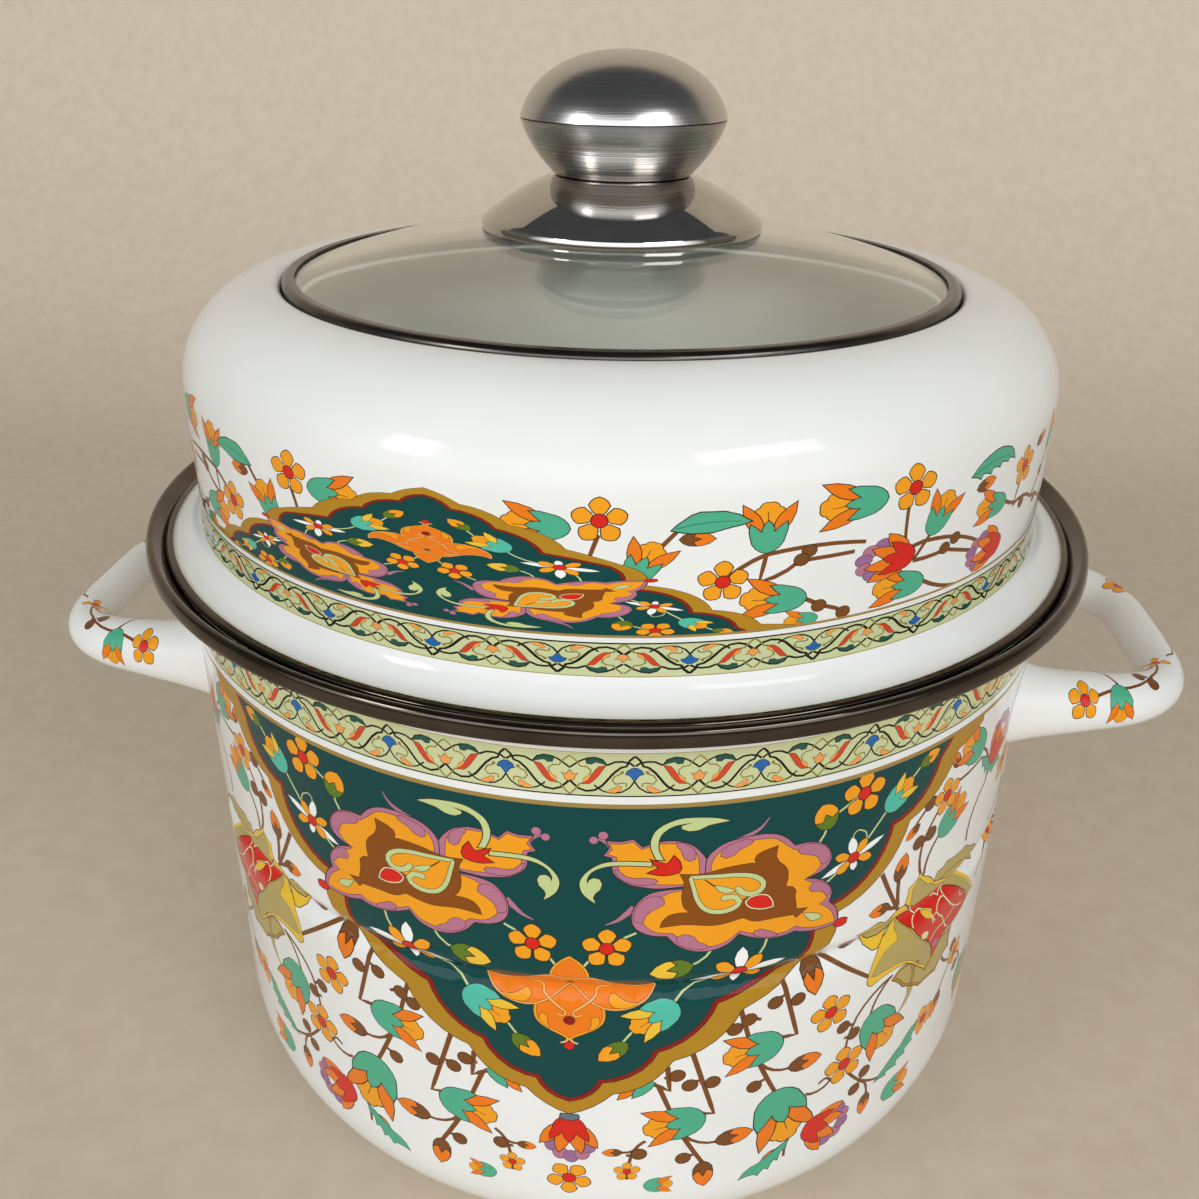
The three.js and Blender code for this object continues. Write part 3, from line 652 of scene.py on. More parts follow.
def spray():
    """Stems and flowers on the white wall to the right of the medallion, up to under the handle."""
    branches = (
        [(53.4, 104.4), (59.4, 83.2), (54.6, 83.8)], [(42.6, 97.4), (46.4, 83.6)],
        [(31, 84.4), (37.8, 61.2), (34.6, 61.8)], [(24.8, 80.4), (25.6, 71.8), (21.6, 74.4)],
        [(22.6, 74), (26.6, 62.6)], [(80, 129, 0.02), (88.4, 113.4)], [(63.4, 108.6), (82.6, 92)],
        [(86.6, 124.6, 0.05), (88, 115)], [(83.4, 116.6, 0.1), (88, 114.6)],
        [(49.4, 76, 0.02), (55.4, 62.6)], [(29.4, 55, 0.02), (36, 42)],
    )
    shapes = stems(branches)
    twigs = (
        [(50, 75.6, 0.25), (58.4, 71.2)], [(30.4, 54, 0.25), (39.4, 49.8)],
        [(91, 88.4, 0.22), (79, 80, 0.1), (76.4, 68.4)], [(90, 88, 0.2), (84.2, 78)],
        [(64.6, 58.4, 0.35), (72.4, 59.4, 0.5), (70.4, 61.4), (68.6, 60.4)],
        [(78.6, 59.6, 0.05), (86.6, 50.4, -0.1), (88, 45.4)], [(84.6, 52.6, 0.1), (92, 48.6)],
        [(20, 53.4, 0.2), (16.4, 48, 0.05), (15.4, 38.4)], [(17, 49.8, -0.2), (13.8, 49.2)],
        [(60.6, 42.6, 0.1), (60, 36)], [(96, 120.6, -0.2), (94.4, 133.4, -0.1), (101.4, 143.4)],
        [(104, 146, 0.1), (118, 147.4)], [(96.4, 146, 0.1), (88.8, 138.4)],
        [(97, 120.6, -0.3), (103, 133)], [(118, 120, -0.3), (124, 136, 0.3), (118, 150)],
        [(117, 78, 0.3), (128, 72, -0.2), (136, 62)], [(134, 96, -0.2), (148, 104, -0.2), (160, 100)],
        [(128, 72, 0.2), (120, 62)], [(136, 116, 0.2), (150, 128)],
        [(160, 100, 0.2), (170, 88, -0.2), (172, 76)], [(150, 128, 0.2), (166, 132, 0.2), (178, 126)],
        [(136, 62, 0.2), (150, 52, 0.1), (164, 56)], [(164, 56, -0.2), (178, 62)],
        [(172, 76, 0.2), (182, 72)], [(160, 100, -0.2), (176, 108)],
    )
    shapes += stems(twigs, 0.72)
    berries = (
        (52, 96.8, 30), (58.5, 95.8, 165), (30.8, 73, 20), (36.8, 73, 165), (27.4, 77, 180),
        (48.5, 68, 25), (30.3, 45.3, 10), (74.6, 78.6, -20), (78.8, 74.2, 175), (85.6, 55.6, 230),
        (82.4, 50.4, 40), (18.4, 48.4, 180), (92.2, 133.3, -20), (97, 134, 200), (94.4, 144.4, -20),
        (125, 77, 230), (131, 64.6, 40), (144, 105.6, -80), (155, 99.6, 110), (144, 59.6, -100),
        (158, 133.6, -90), (171, 128.6, 100), (45.2, 93, -20), (41.6, 90.6, 10),
    )
    shapes += scattered(berry(), berries, size=0.95)
    buds = (
        (58, 71.4, 2, 1.0), (38.8, 50, 6, 1.04), (35.6, 43, -84, 1.0), (86.2, 123.6, 80, 0.85),
        (84.8, 116.6, 178, 0.7), (91.4, 139.6, 215, 0.55), (14, 49.2, 182, 0.52), (87.8, 45.6, -95, 0.8),
        (58.6, 39.4, 195, 0.55), (104.6, 151, 120, 0.6), (120.6, 62.6, 250, 0.9), (150, 128, 60, 0.9),
        (178, 126, -40, 0.8), (182, 72, -10, 0.8), (176, 108, 40, 0.9),
    )
    shapes += scattered(bud(), buds)
    shapes += placed(bud("orange", "stem", 4.2), 61.2, 108.8, -80, 1.32)
    shapes += placed(bud("mauve", "stem", 4), 70.6, 107.2, 8, 0.66)
    tulips = (
        (55.6, 82.4, 186, 1.05), (35.6, 60.4, 190, 1.05), (54.6, 64, -74, 1.4), (84, 78, -58, 1.2),
        (101, 131, 38, 0.85), (20, 35.6, 0, 0.5), (136.4, 61.4, -60, 1.1), (160, 100, 8, 1.1),
        (172, 76, -100, 1.0), (118, 150, 150, 0.9), (166, 132, 80, 0.95), (178, 62, 20, 0.9),
        (95.6, 38.6, 0, 0.8),
    )
    shapes += scattered(tulip(), tulips)
    shapes += placed(half_tulip(), 21.8, 75, 214, 0.95)
    blossoms = (
        (69.6, 86.4, 12, 1.05), (77, 63.6, 12, 1.1), (15.4, 41.6, 0, 0.6), (101.6, 143.6, 10, 0.9),
        (148, 104, 20, 0.95), (150, 52.4, 0, 0.95), (128, 72.4, 30, 0.8), (140, 134, 0, 0.95),
        (184, 94, 10, 0.95), (112, 58, 20, 0.9), (186, 146, 0, 0.95),
    )
    shapes += scattered(blossom(), blossoms)
    shapes += placed(saw_leaf(), 91, 47.6, 28, 1.15) + placed(saw_leaf(), 61, 42.4, 222, 0.95, flip=True)
    leaves = ((118, 147, -35), (164, 56, -40), (150, 110, 100, 0.9), (178, 84, 120, 0.9))
    shapes += scattered(saw_leaf(), leaves)
    shapes += placed(red_flower(), 65.6, 44.4, -22, 1.02) + placed(red_flower(), 126, 141, 60, 0.95)
    return shapes + placed(red_flower(), 182, 116, 90, 0.85) + side_lotus()


def axis_flowers():
    """What hangs under the tip of the medallion."""
    shapes = []
    for shape, ink in placed(red_flower(), 0, 62, -90, 1.05):
        shapes.append((0.86 * shape.real + 1j * shape.imag, ink))
    shapes += inked(outline((-2.4, 61.6, 0.3), (2.4, 61.6, 0.3), (2.2, 63.2), (-2.2, 63.2)), "slate")
    return shapes + placed(blossom(), 0, 38.4, 36, 1.0)


def vine_band(repeat, bold):
    """One repeat of the interlaced vines about a blue floret, for a band from 0 to 11 high."""
    end = repeat / 2
    right = []
    for width, ink, *line in (
        (0.5, "band line", (0, 10.4), (1.2, 9), (1.8, 7.6, 1), (3, 7.2), (4.4, 5.9), (5.8, 4),
         (7.1, 2.3), (8.6, 1.2), (10.4, 0.9), (12, 1.5), (end, 3.6)),
        (0.45, "band line", (0.1, 7.6), (1.1, 8.4), (2.7, 8.8), (4.3, 8.7), (6, 7.8)),
        (0.4, "band line", (6, 7.8), (7, 9.3), (8.6, 9.9), (10.2, 9.6), (11.7, 8.8), (end, 6.9)),
        (0.3, "olive", (end, 10.2), (12.3, 8.4), (11.8, 7.4, 1), (10.4, 7.3), (9.4, 6.4), (9.7, 5),
         (11, 4.1)),
        (0.34, "olive", (11, 2.9), (11.9, 2.7), (12.6, 1.5), (end, -0.1)),
        (0.32, "olive", (2.9, 5.6), (4.2, 5), (4.8, 3.9), (4.1, 2.9), (2.6, 3.2), (1.8, 3.1, 1),
         (1.7, 2.2)),
        (0.34, "band line", (0, 3.7), (1.1, 1.9), (2.7, 0.8), (4.8, 0.6), (6.9, 1.1), (8.7, 2.6)),
    ):
        right += stroke(flow(line, False), width * bold, width * bold, ink)
    for ink, line, *stops in (
        ("band green", 0.12, (6, 7.8, 1), (7.2, 9.3), (9, 9.8), (10.6, 9.2), (10.3, 8.1), (9.3, 8),
         (8.5, 8.6), (7.2, 8.3)),
        ("band red", 0.12, (6.2, 7.7, 1), (7.1, 6.3), (8.2, 4.5), (9.8, 2.9), (11.2, 2.8, 1), (10.1, 3.9),
         (9, 5.6), (7.7, 7.4)),
        ("band orange", 0.08, (9.3, 5.2), (9.8, 5.2), (11, 4.1), (11.2, 3, 1), (10, 3.9)),
        ("band orange", 0.1, (2.7, 2.2), (3.4, 2.5), (4.4, 1.8), (6.2, 0.8, 1), (4.2, 0.6), (3, 1.2)),
    ):
        right += inked(flowing(*stops), ink, line)
    right += [(disc(0.45, 2.7 + 6j), "olive")]
    unit = mirrored(right)
    blue = lobed(
        (0, 3.7, 0), (0.6, 4.7, 0), (1.1, 5.3, 0), (1.9, 5.5, 0.25), (0.8, 6.9, 0.2), (0, 7.1, 0.2),
    )
    unit += inked(blue, "band blue", 0.16)
    floret = lobed((0, 3.3, 0), (1, 3.9, 0), (1.1, 4.6, 0), (1.7, 5.4, 0), (0.8, 5.1, 0), (0, 6.2, 0))
    return unit + moved(inked(floret, "band orange", 0.14), end)


def tiled(unit, repeat, count):
    """A unit set side by side all round, about the middle."""
    return [shape for k in range(count) for shape in moved(unit, repeat * (k + 0.5 - count / 2))]


STRIPE_LAP = 9


def stripe(low, high, length, ink):
    """Plain stripe all round, lapped over at the seam."""
    half = length / 2 + STRIPE_LAP
    return [(outline((-half, low), (half, low), (half, high), (-half, high)), ink)]


VINE_REPEATS = 28
VINE_LEVEL = 165.9
STRIPES = (
    (162.2, 163.4, "gold line"),
    (163.4, 165.4, "enamel"),
    (165.4, 165.75, "band line"),
    (165.75, 177.2, "band"),
    (177.2, 177.4, "gold line"),
)


def pot_artwork(length):
    """All that is printed on the pot, for a wall of this length all round. The back repeats the front."""
    front = mirrored(spray()) + axis_flowers() + medallion()
    shapes = front + moved(front, length / 2)
    for low, high, ink in STRIPES:
        shapes += stripe(low, high, length, ink)
    repeat = length / VINE_REPEATS
    return shapes + tiled(moved(vine_band(repeat, 1.15), 1j * VINE_LEVEL), repeat, VINE_REPEATS)


def grid_points(length, rows, columns):
    """Flat grid of points all round, column by column."""
    across = np.linspace(-length / 2, length / 2, columns + 1)
    return (across[:, None] + 1j * np.asarray(rows)[None, :]).ravel()


def covered(shape, points):
    """Which of the points lie inside a shape, from how often its edge winds round them."""
    start, end = shape[:, None], np.roll(shape, -1)[:, None]
    point = points[None, :]
    side = ((end - start).conj() * (point - start)).imag
    up = (start.imag <= point.imag) & (end.imag > point.imag) & (side > 0)
    down = (start.imag > point.imag) & (end.imag <= point.imag) & (side < 0)
    return up.sum(axis=0) != down.sum(axis=0)


PRINT_MARGIN = 0.05
SAME_POINT = 1e-4
AT_SEAM = 1e-3


def printed(artwork, length, rows, columns):
    """Mesh of a printed surface, cut along the edges of the artwork, with the ink of every face."""
    half = length / 2
    grid = grid_points(length, rows, columns)
    tall = len(rows)
    last = columns * tall
    edges = []
    for i in range(0, last, tall):
        edges += [(i, i + tall), (i + tall - 1, i + 2 * tall - 1)]
    for j in range(tall - 1):
        edges += [(j, j + 1), (last + j, last + j + 1)]
    shapes = []
    for shape, ink in artwork:
        level = np.clip(shape.imag, rows[0] + PRINT_MARGIN, rows[-1] - PRINT_MARGIN)
        for along in (-length, 0, length):
            across = shape.real + along
            if across.max() > -half and across.min() < half:
                shapes.append((across + 1j * level, ink))
    count = len(grid)
    for shape, _ in shapes:
        ring = count + np.arange(len(shape))
        edges += list(zip(ring.tolist(), np.roll(ring, -1).tolist()))
        count += len(shape)
    points = np.concatenate([grid] + [shape for shape, _ in shapes])
    made = delaunay_2d_cdt([Vector((p.real, p.imag)) for p in points], edges, [], 0, SAME_POINT, True)
    flat = np.array([complex(p[0], p[1]) for p in made[0]])
    for i, origins in enumerate(made[3]):
        if origins and origins[0] < len(grid):
            flat[i] = grid[origins[0]]
    left = flat.imag[abs(flat.real + half) < AT_SEAM]
    for i in np.nonzero(abs(flat.real - half) < AT_SEAM)[0]:
        flat[i] = half + 1j * left[np.argmin(abs(left - flat.imag[i]))]
    faces = np.array(made[2])
    middle = flat[faces].mean(axis=1)
    inside = (abs(middle.real) < half) & (middle.imag > rows[0]) & (middle.imag < rows[-1])
    order = np.argsort(middle[inside].real)
    faces, middle = faces[inside][order], middle[inside][order]
    inks = np.zeros(len(faces), int)
    for shape, ink in shapes:
        near = np.arange(*np.searchsorted(middle.real, (shape.real.min(), shape.real.max())))
        heights = middle.imag[near]
        near = near[(heights > shape.imag.min()) & (heights < shape.imag.max())]
        inks[near[covered(shape, middle[near])]] = INK_NAMES.index(ink)
    return flat, faces, inks


def plain(rows, length, columns):
    """Mesh of an unprinted stretch of a turned surface."""
    tall = len(rows)
    corners = [i * tall + j for i in range(columns) for j in range(tall - 1)]
    faces = [(c, c + tall, c + tall + 1, c + 1) for c in corners]
    return grid_points(length, rows, columns), faces, np.zeros(len(faces), int)


def smooth_piece(name, points, faces):
    """Smooth piece from points in metres, in the scene."""
    mesh = bpy.data.meshes.new(name)
    mesh.from_pydata(points, [], faces)
    mesh.polygons.foreach_set("use_smooth", np.ones(len(mesh.polygons), bool))
    piece = bpy.data.objects.new(name, mesh)
    bpy.context.scene.collection.objects.link(piece)
    return piece


SLOPE_STEP = 0.4
WELD_DIGITS = 3
OFF_ROUNDING = 0.00013


def enamelled(name, stretches, place):
    """Welds flat stretches into one piece, wraps it with place and colours every face with its ink."""
    points, normals, faces, inks = [], [], [], []
    count = 0
    for flat, stretch_faces, stretch_inks in stretches:
        u, v = flat.real, flat.imag
        points.append(place(u, v))
        along = place(u + SLOPE_STEP, v) - place(u - SLOPE_STEP, v)
        up = place(u, v + SLOPE_STEP) - place(u, v - SLOPE_STEP)
        normals.append(np.cross(along, up))
        faces += [[count + i for i in face] for face in np.asarray(stretch_faces).tolist()]
        inks.append(stretch_inks)
        count += len(flat)
    points, normals, inks = np.concatenate(points), np.concatenate(normals), np.concatenate(inks)
    normals /= np.maximum(np.linalg.norm(normals, axis=1, keepdims=True), 1e-12)
    places = np.round(points + OFF_ROUNDING, WELD_DIGITS)
    _, first, weld = np.unique(places, axis=0, return_index=True, return_inverse=True)
    weld = weld.ravel()
    kept_faces, kept_inks = [], []
    for face, ink in zip(faces, inks):
        corners = list(dict.fromkeys(weld[face].tolist()))
        if len(corners) > 2:
            kept_faces.append(corners)
            kept_inks.append(ink)
    piece = smooth_piece(name, (points[first] * MM).tolist(), kept_faces)
    colours = np.array([linear(INKS[ink]) for ink in INK_NAMES])
    sizes = [len(face) for face in kept_faces]
    layer = piece.data.color_attributes.new("print", "FLOAT_COLOR", "CORNER")
    layer.data.foreach_set("color", np.repeat(colours[kept_inks], sizes, axis=0).astype(np.float32).ravel())
    piece.data.normals_split_custom_set_from_vertices(normals[first].tolist())
    return piece


class Wire:
    """One output of a material's nodes. Sums and products of wires and numbers add Math nodes."""

    def __init__(self, tree, socket=None):
        self.tree, self.socket = tree, socket

    def node(self, kind, settings=(), sockets=(), output=0):
        """Any node: its type, its settings, which are set first, and the values or wires of its sockets."""
        made = self.tree.nodes.new("ShaderNode" + kind)
        for key, value in dict(settings).items():
            if key == "stops":
                ramp = made.color_ramp.elements
                while len(ramp) < len(value):
                    ramp.new(0.5)
                for stop, (position, colour) in zip(ramp, value):
                    stop.position, stop.color = position, colour
            else:
                setattr(made, key, value)
        for key, value in dict(sockets).items():
            if isinstance(value, Wire):
                self.tree.links.new(value.socket, made.inputs[key])
            else:
                made.inputs[key].default_value = value
        return Wire(self.tree, made.outputs[output] if made.outputs else None)

    def math(self, operation, a, b):
        return self.node("Math", {"operation": operation}, {0: a, 1: b})

    def __add__(self, other):
        return self.math("ADD", self, other)

    def __mul__(self, other):
        return self.math("MULTIPLY", self, other)

    __radd__, __rmul__ = __add__, __mul__


def finish(name, look):
    """Material from its look, a function that adds nodes and gives a shader, or the values and wires of a
    Principled one."""
    material = bpy.data.materials.new(name)
    material.use_nodes = True
    material.node_tree.nodes.clear()
    start = Wire(material.node_tree)
    shader = look(start)
    if isinstance(shader, dict):
        shader = start.node("BsdfPrincipled", (), shader)
    start.node("OutputMaterial", (), {"Surface": shader})
    return material


def glossy_enamel(w):
    """Fired glass: hard gloss, a faint waviness of the melt and hardly visible clouding of the colour."""
    place = w.node("TexCoord", (), (), "Object")
    cloud = w.node("TexNoise", (), {"Vector": place, "Scale": 26.0, "Detail": 3.0})
    speck = w.node("TexNoise", (), {"Vector": place, "Scale": 700.0, "Detail": 2.0})
    ink = w.node("Attribute", {"attribute_name": "print"}, (), "Color")
    haze = w.node(
        "ValToRGB", {"stops": ((0.3, (0.95, 0.955, 0.95, 1)), (0.7, (1, 1, 1, 1)))}, {"Fac": cloud}
    )
    tone = w.node("Mix", {"data_type": "RGBA", "blend_type": "MULTIPLY"}, {0: 1.0, 6: ink, 7: haze}, 2)
    melt = w.node("TexNoise", (), {"Vector": place, "Scale": 55.0, "Detail": 1.0})
    bump = w.node("Bump", (), {"Strength": 0.05, "Distance": 0.001, "Height": melt})
    return {"Base Color": tone, "Roughness": 0.07 + 0.05 * speck, "IOR": 1.34, "Normal": bump}


def fitted(piece, material, body, node):
    """Gives a piece its material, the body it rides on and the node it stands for."""
    piece.data.materials.append(material)
    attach(piece, body)
    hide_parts(node)


def pot_section():
    """Section of the pot's sheet, up its outer face and back down inside, and the row of its lip."""
    wall = POT_RADIUS - SHEET / 2
    corner = BASE_CORNER - SHEET / 2
    across = np.linspace(-1, 1, BEAD_STEPS + 1)
    bead = wall - BEAD_DEPTH * (1 + np.cos(np.pi * across)) / 2 + 1j * (BEAD_HEIGHT + BEAD_REACH * across)
    crossing = LIP.imag - (LIP.real - wall)
    bend = crossing - MOUTH_BEND * math.tan(math.pi / 8)
    line = np.concatenate([
        [complex(0, SHEET / 2), complex(FLAT_BASE, SHEET / 2)],
        arc(wall - corner + 1j * (SHEET / 2 + corner), corner, -90, 0, CORNER_STEPS),
        bead,
        arc(wall + MOUTH_BEND + 1j * bend, MOUTH_BEND, 180, 135, MOUTH_STEPS),
        [LIP],
    ])
    return sheet_faces(line, SHEET), len(line)


POT_LENGTH = 2 * math.pi * POT_RADIUS
BASE_POINTS, ROWS_ROUND_CORNER = 2, 4
ROW_STEP, ROW_GAP, TOP_GAP = 7.0, 1.5, 4
section, lip_row = pot_section()
wall_row = BASE_POINTS + CORNER_STEPS
first_printed, last_printed = wall_row - ROWS_ROUND_CORNER, lip_row - 2
place, runs = wound_round(section, POT_RADIUS, wall_row)
bends = runs[first_printed : last_printed + 1]
between = np.arange(bends[0] + ROW_STEP, bends[-1] - TOP_GAP, ROW_STEP)
rows = sorted([*bends, *[v for v in between if min(abs(bends - v)) > ROW_GAP]])
pot_body = enamelled(
    "pot_body_enamelled",
    [
        plain(runs[: first_printed + 1], POT_LENGTH, COLUMNS),
        printed(pot_artwork(POT_LENGTH), POT_LENGTH, rows, COLUMNS),
        plain(runs[last_printed:], POT_LENGTH, COLUMNS),
    ],
    place,
)
ENAMEL = finish("white_enamel_with_transfer", glossy_enamel)
fitted(pot_body, ENAMEL, "pot", "pot_body")

# Rim of the pot. A strip of stainless steel folded over the flared edge of the mouth and rolled tight, so
# that the enamel can't chip there. Polished on both faces.
STRIP = 0.5
RIM_LEG = 6.2


def rolled_strip(edge, leg):
    """Section of the strip on a flared edge: up outside from a hem, over the crest, down the inner face."""
    hem = [
        -1.9 - 2.7j, -0.7 - 3j, 0.4 - 2.95j, 0.9 - 2.7j, 1.13 - 2.2j, 1.15 - 1.6j, 1.02 - 0.6j, 0.84 + 0.3j,
        0.66 + 0.72j,
    ]
    crest = [0.38 + 1j, 0.05 + 1.13j, -0.32 + 1.12j, -0.62 + 0.98j]
    inner = [-0.82 + 0.82j, -0.82 + 0.82j - leg * (1 + 1j) / math.sqrt(2)]
    return sheet_faces(edge + np.array(hem + crest + inner), STRIP)


def turned(name, section, columns=COLUMNS, crease=35):
    """Piece turned from a closed section that runs up its outer face."""
    angles = np.linspace(0, 2 * np.pi, columns, endpoint=False)
    points = [(p.real * math.sin(a), -p.real * math.cos(a), p.imag) for a in angles for p in section]
    tall = len(section)
    faces = []
    for i in range(columns):
        here, after = i * tall, (i + 1) % columns * tall
        for j in range(tall):
            k = (j + 1) % tall
            faces.append((here + j, after + j, after + k, here + k))
    piece = smooth_piece(name, [Vector(p) * MM for p in points], faces)
    piece.data.set_sharp_from_angle(angle=math.radians(crease))
    return piece


def mottled(w, scale, detail, dark, light):
    """Noise through a piece, and a colour that wavers with it from dark to light."""
    place = w.node("TexCoord", (), (), "Object")
    cloud = w.node("TexNoise", (), {"Vector": place, "Scale": scale, "Detail": detail})
    tone = w.node("ValToRGB", {"stops": ((0.3, linear(dark)), (0.7, linear(light)))}, {"Fac": cloud})
    return cloud, tone


def worked_steel(w, scale, detail, dark, light, gloss, dulling):
    """Bare steel whose colour and gloss waver a little. Lower gloss values are brighter."""
    cloud, tone = mottled(w, scale, detail, dark, light)
    return {"Base Color": tone, "Metallic": 1.0, "Roughness": gloss + dulling * cloud}


RIM_STEEL = finish("polished_strip", lambda w: worked_steel(w, 60.0, 4.0, "#4f473f", "#635a51", 0.04, 0.06))
fitted(turned("pot_rim_strip", rolled_strip(LIP, RIM_LEG)), RIM_STEEL, "pot", "pot_rim_ring")

# Handles. Steel tube bent to a loop, its ends flared, cut to the round of the wall and welded on before the
# whole pot is dipped in enamel. A small spray of the transfer is laid over each front corner.
HANDLE_REACH = 164
HANDLE_SPAN = 35
HANDLE_LEVEL = 146
HANDLE_SAG = 1.5
HANDLE_CORNER = 22
FOOT = complex(116.94, -45)
SEAT_RADIUS = 125.05
GRIP_RADIUS = 6.2
FOOT_SWELL, FOOT_FLARE, FOOT_BLEND = 3.8, 1.4, 16
TUBE_WALL = 1.2
ARM_STEPS, BEND_STEPS, GRIP_STEPS = 26, 24, 8
TUBE_COLUMNS, TUBE_ROWS, INNER_ROWS = 36, 100, 60


def bent(start, control, end, steps=16):
    """Points on a smooth bend that leaves start and reaches end along the lines to the control point."""
    t = np.linspace(0, 1, steps + 1)
    return (1 - t) ** 2 * start + 2 * t * (1 - t) * control + t**2 * end


def loop_path():
    """Line along the middle of the tube, from the front foot round to the back one."""
    crossing = complex(HANDLE_REACH, -HANDLE_SPAN)
    back = (FOOT - crossing) / abs(FOOT - crossing)
    start, end = crossing + HANDLE_CORNER * back, crossing + HANDLE_CORNER * 1j
    arm = FOOT + (start - FOOT) * np.linspace(0, 1, ARM_STEPS + 1)
    grip = end + (end.conjugate() - end) * np.linspace(0, 1, GRIP_STEPS + 1)
    half = np.concatenate([arm[:-1], bent(start, crossing, end, BEND_STEPS)])
    return np.concatenate([half, grip[1:-1], half.conj()[::-1]])


def loop_handle(name, turn, artwork):
    """Tube along the loop, printed outside and plain inside, whose ends fit the round of the wall."""
    path = loop_path()
    run = np.concatenate([[0], np.cumsum(abs(np.diff(path)))])
    way = np.gradient(path)
    way /= abs(way)
    total = run[-1]
    around = 2 * np.pi * GRIP_RADIUS
    spin = cmath.exp(1j * math.radians(turn))

    def place(u, v):
        v = np.where(v > 2 * total + 1.5 * TUBE_WALL, 0, v)
        inner = v > total + TUBE_WALL / 2
        s = np.clip(np.where(inner, 2 * total + TUBE_WALL - v, v), 0, total)
        deep = np.where(inner, TUBE_WALL, 0) + 0 * u
        x, y = np.interp(s, run, path.real), np.interp(s, run, path.imag)
        way_x, way_y = np.interp(s, run, way.real), np.interp(s, run, way.imag)
        near = (HANDLE_REACH - x) / (HANDLE_REACH - FOOT.real)
        from_foot = np.minimum(s, total - s)
        radius = GRIP_RADIUS + FOOT_SWELL * near + FOOT_FLARE * near**8 - deep
        side, up = radius * np.cos(u / GRIP_RADIUS), -radius * np.sin(u / GRIP_RADIUS)
        y = y - side * way_x
        seat = np.sqrt(SEAT_RADIUS**2 - y**2) + from_foot
        x = seat + (x + side * way_y - seat) * np.minimum(1, from_foot / FOOT_BLEND)
        plan = (x + 1j * y) * spin
        return np.stack([plan.real, plan.imag, HANDLE_LEVEL - HANDLE_SAG * (1 - near) + up], axis=1)

    outside = np.linspace(0, total, TUBE_ROWS + 1)
    inside = total + TUBE_WALL + total * np.linspace(0, 1, INNER_ROWS + 1)
    inside = np.concatenate([outside[-1:], inside, [inside[-1] + TUBE_WALL]])
    stretches = [printed(artwork, around, outside, TUBE_COLUMNS), plain(inside, around, TUBE_COLUMNS)]
    return enamelled(name, stretches, place)


def handle_spray():
    """Spray over the front corner of a handle: across the tube, then along it from the front foot."""
    shapes = stems((
        [(-3.6, 16, -0.05), (-6, 26, 0.1), (-8.6, 38, 0.05), (-11.6, 48)],
        [(-7, 26, 0.05), (-12.4, 22.4), (-13, 34, 0.1), (-12, 48)],
        [(-11.8, 49, -0.15), (-7, 58, 0.1), (-6, 68)],
    ), 0.5)
    shapes += scattered(berry(), ((-9.5, 34.2, 60), (-6.4, 36.6, 140)), size=0.7)
    shapes += placed(tulip(), -7, 25.4, 4, 0.57) + placed(star_flower(), -12, 49, 60, 0.6)
    return shapes + placed(blossom(), -3.6, 15, 90, 0.68) + placed(blossom(), -8.2, 100.8, 0, 0.85)


HANDLE_LENGTH = float(np.sum(abs(np.diff(loop_path()))))
first_foot = handle_spray()
other_foot = [(shape.conj() + 1j * HANDLE_LENGTH, ink) for shape, ink in first_foot]
for hand, turn, artwork in (("right", 0, first_foot), ("left", 180, other_foot)):
    handle = loop_handle(hand + "_handle_enamelled", turn, artwork)
    fitted(handle, ENAMEL, "pot", hand + "_handle")

# Dome of the lid. Pressed from steel sheet, with a flange below that drops into the flare of the mouth and
# an opening above with a ledge for the window. Enamelled and printed like the pot.
LID_LEVEL = 186.08
DOME_RADIUS = 119.5
LID_TURN = -31
LID_EDGE = 129 - 0.7j
FLANGE, FLANGE_WIDE, FLANGE_TALL = 127.5 + 8.6j, 8.6, 9.3
SHOULDER, SHOULDER_WIDE, SHOULDER_TALL = 94.6 + 42j, 24.3, 23.4
CURL, CURL_RADIUS = 94.6 + 63.6j, 1.8
LEDGE = [92.8 + 59.28j, 86.2 + 59.28j]
FLANGE_STEPS, SHOULDER_STEPS, CURL_STEPS = 14, 32, 8


def lid_section():
    """Closed section of the lid's sheet, from the edge of its flange over the shoulder to the ledge."""
    line = np.concatenate([
        [LID_EDGE],
        arc(FLANGE, FLANGE_WIDE, -90, -180, FLANGE_STEPS, FLANGE_TALL),
        arc(SHOULDER, SHOULDER_WIDE, 0, 90, SHOULDER_STEPS, SHOULDER_TALL),
        arc(CURL, CURL_RADIUS, 90, 180, CURL_STEPS)[1:],
        LEDGE,
    ])
    faces = sheet_faces(line + 1j * LID_LEVEL, SHEET)
    return np.append(faces, faces[0])


def curled_leaf():
    """Arched leaf with a toothed lower edge."""
    shape = outline(
        (0, 0, -0.1), (3.6, -1.2), (4.2, -0.1, -0.12), (7.6, -0.9), (8.2, 0.3, -0.12), (11.4, -0.2),
        (12, 0.8, -0.12), (15, 0.2), (15.4, 1.0, -0.1), (18.4, 0.2, 0.3), (14, 3.8, 0.16),
        (6.2, 3.5, 0.16),
    )
    return inked(shape, "leaf green") + stroke([(0.6, 0.2, -0.12), (15.4, 1.6)], 0.3, 0.15, "deep green")


def smooth_leaf():
    shape = outline(
        (0, 0, 0.05), (4.4, -1.0, 0.12), (12, -0.5, 0.05), (16.4, 0.2, 0.2), (8, 3.2, 0.25),
        (2.4, 1.8, 0.1),
    )
    rib = stroke([(0.8, 0.3, -0.1), (14.4, 0.5)], 0.25, 0.15, "deep green")
    return inked(shape, "leaf green") + rib


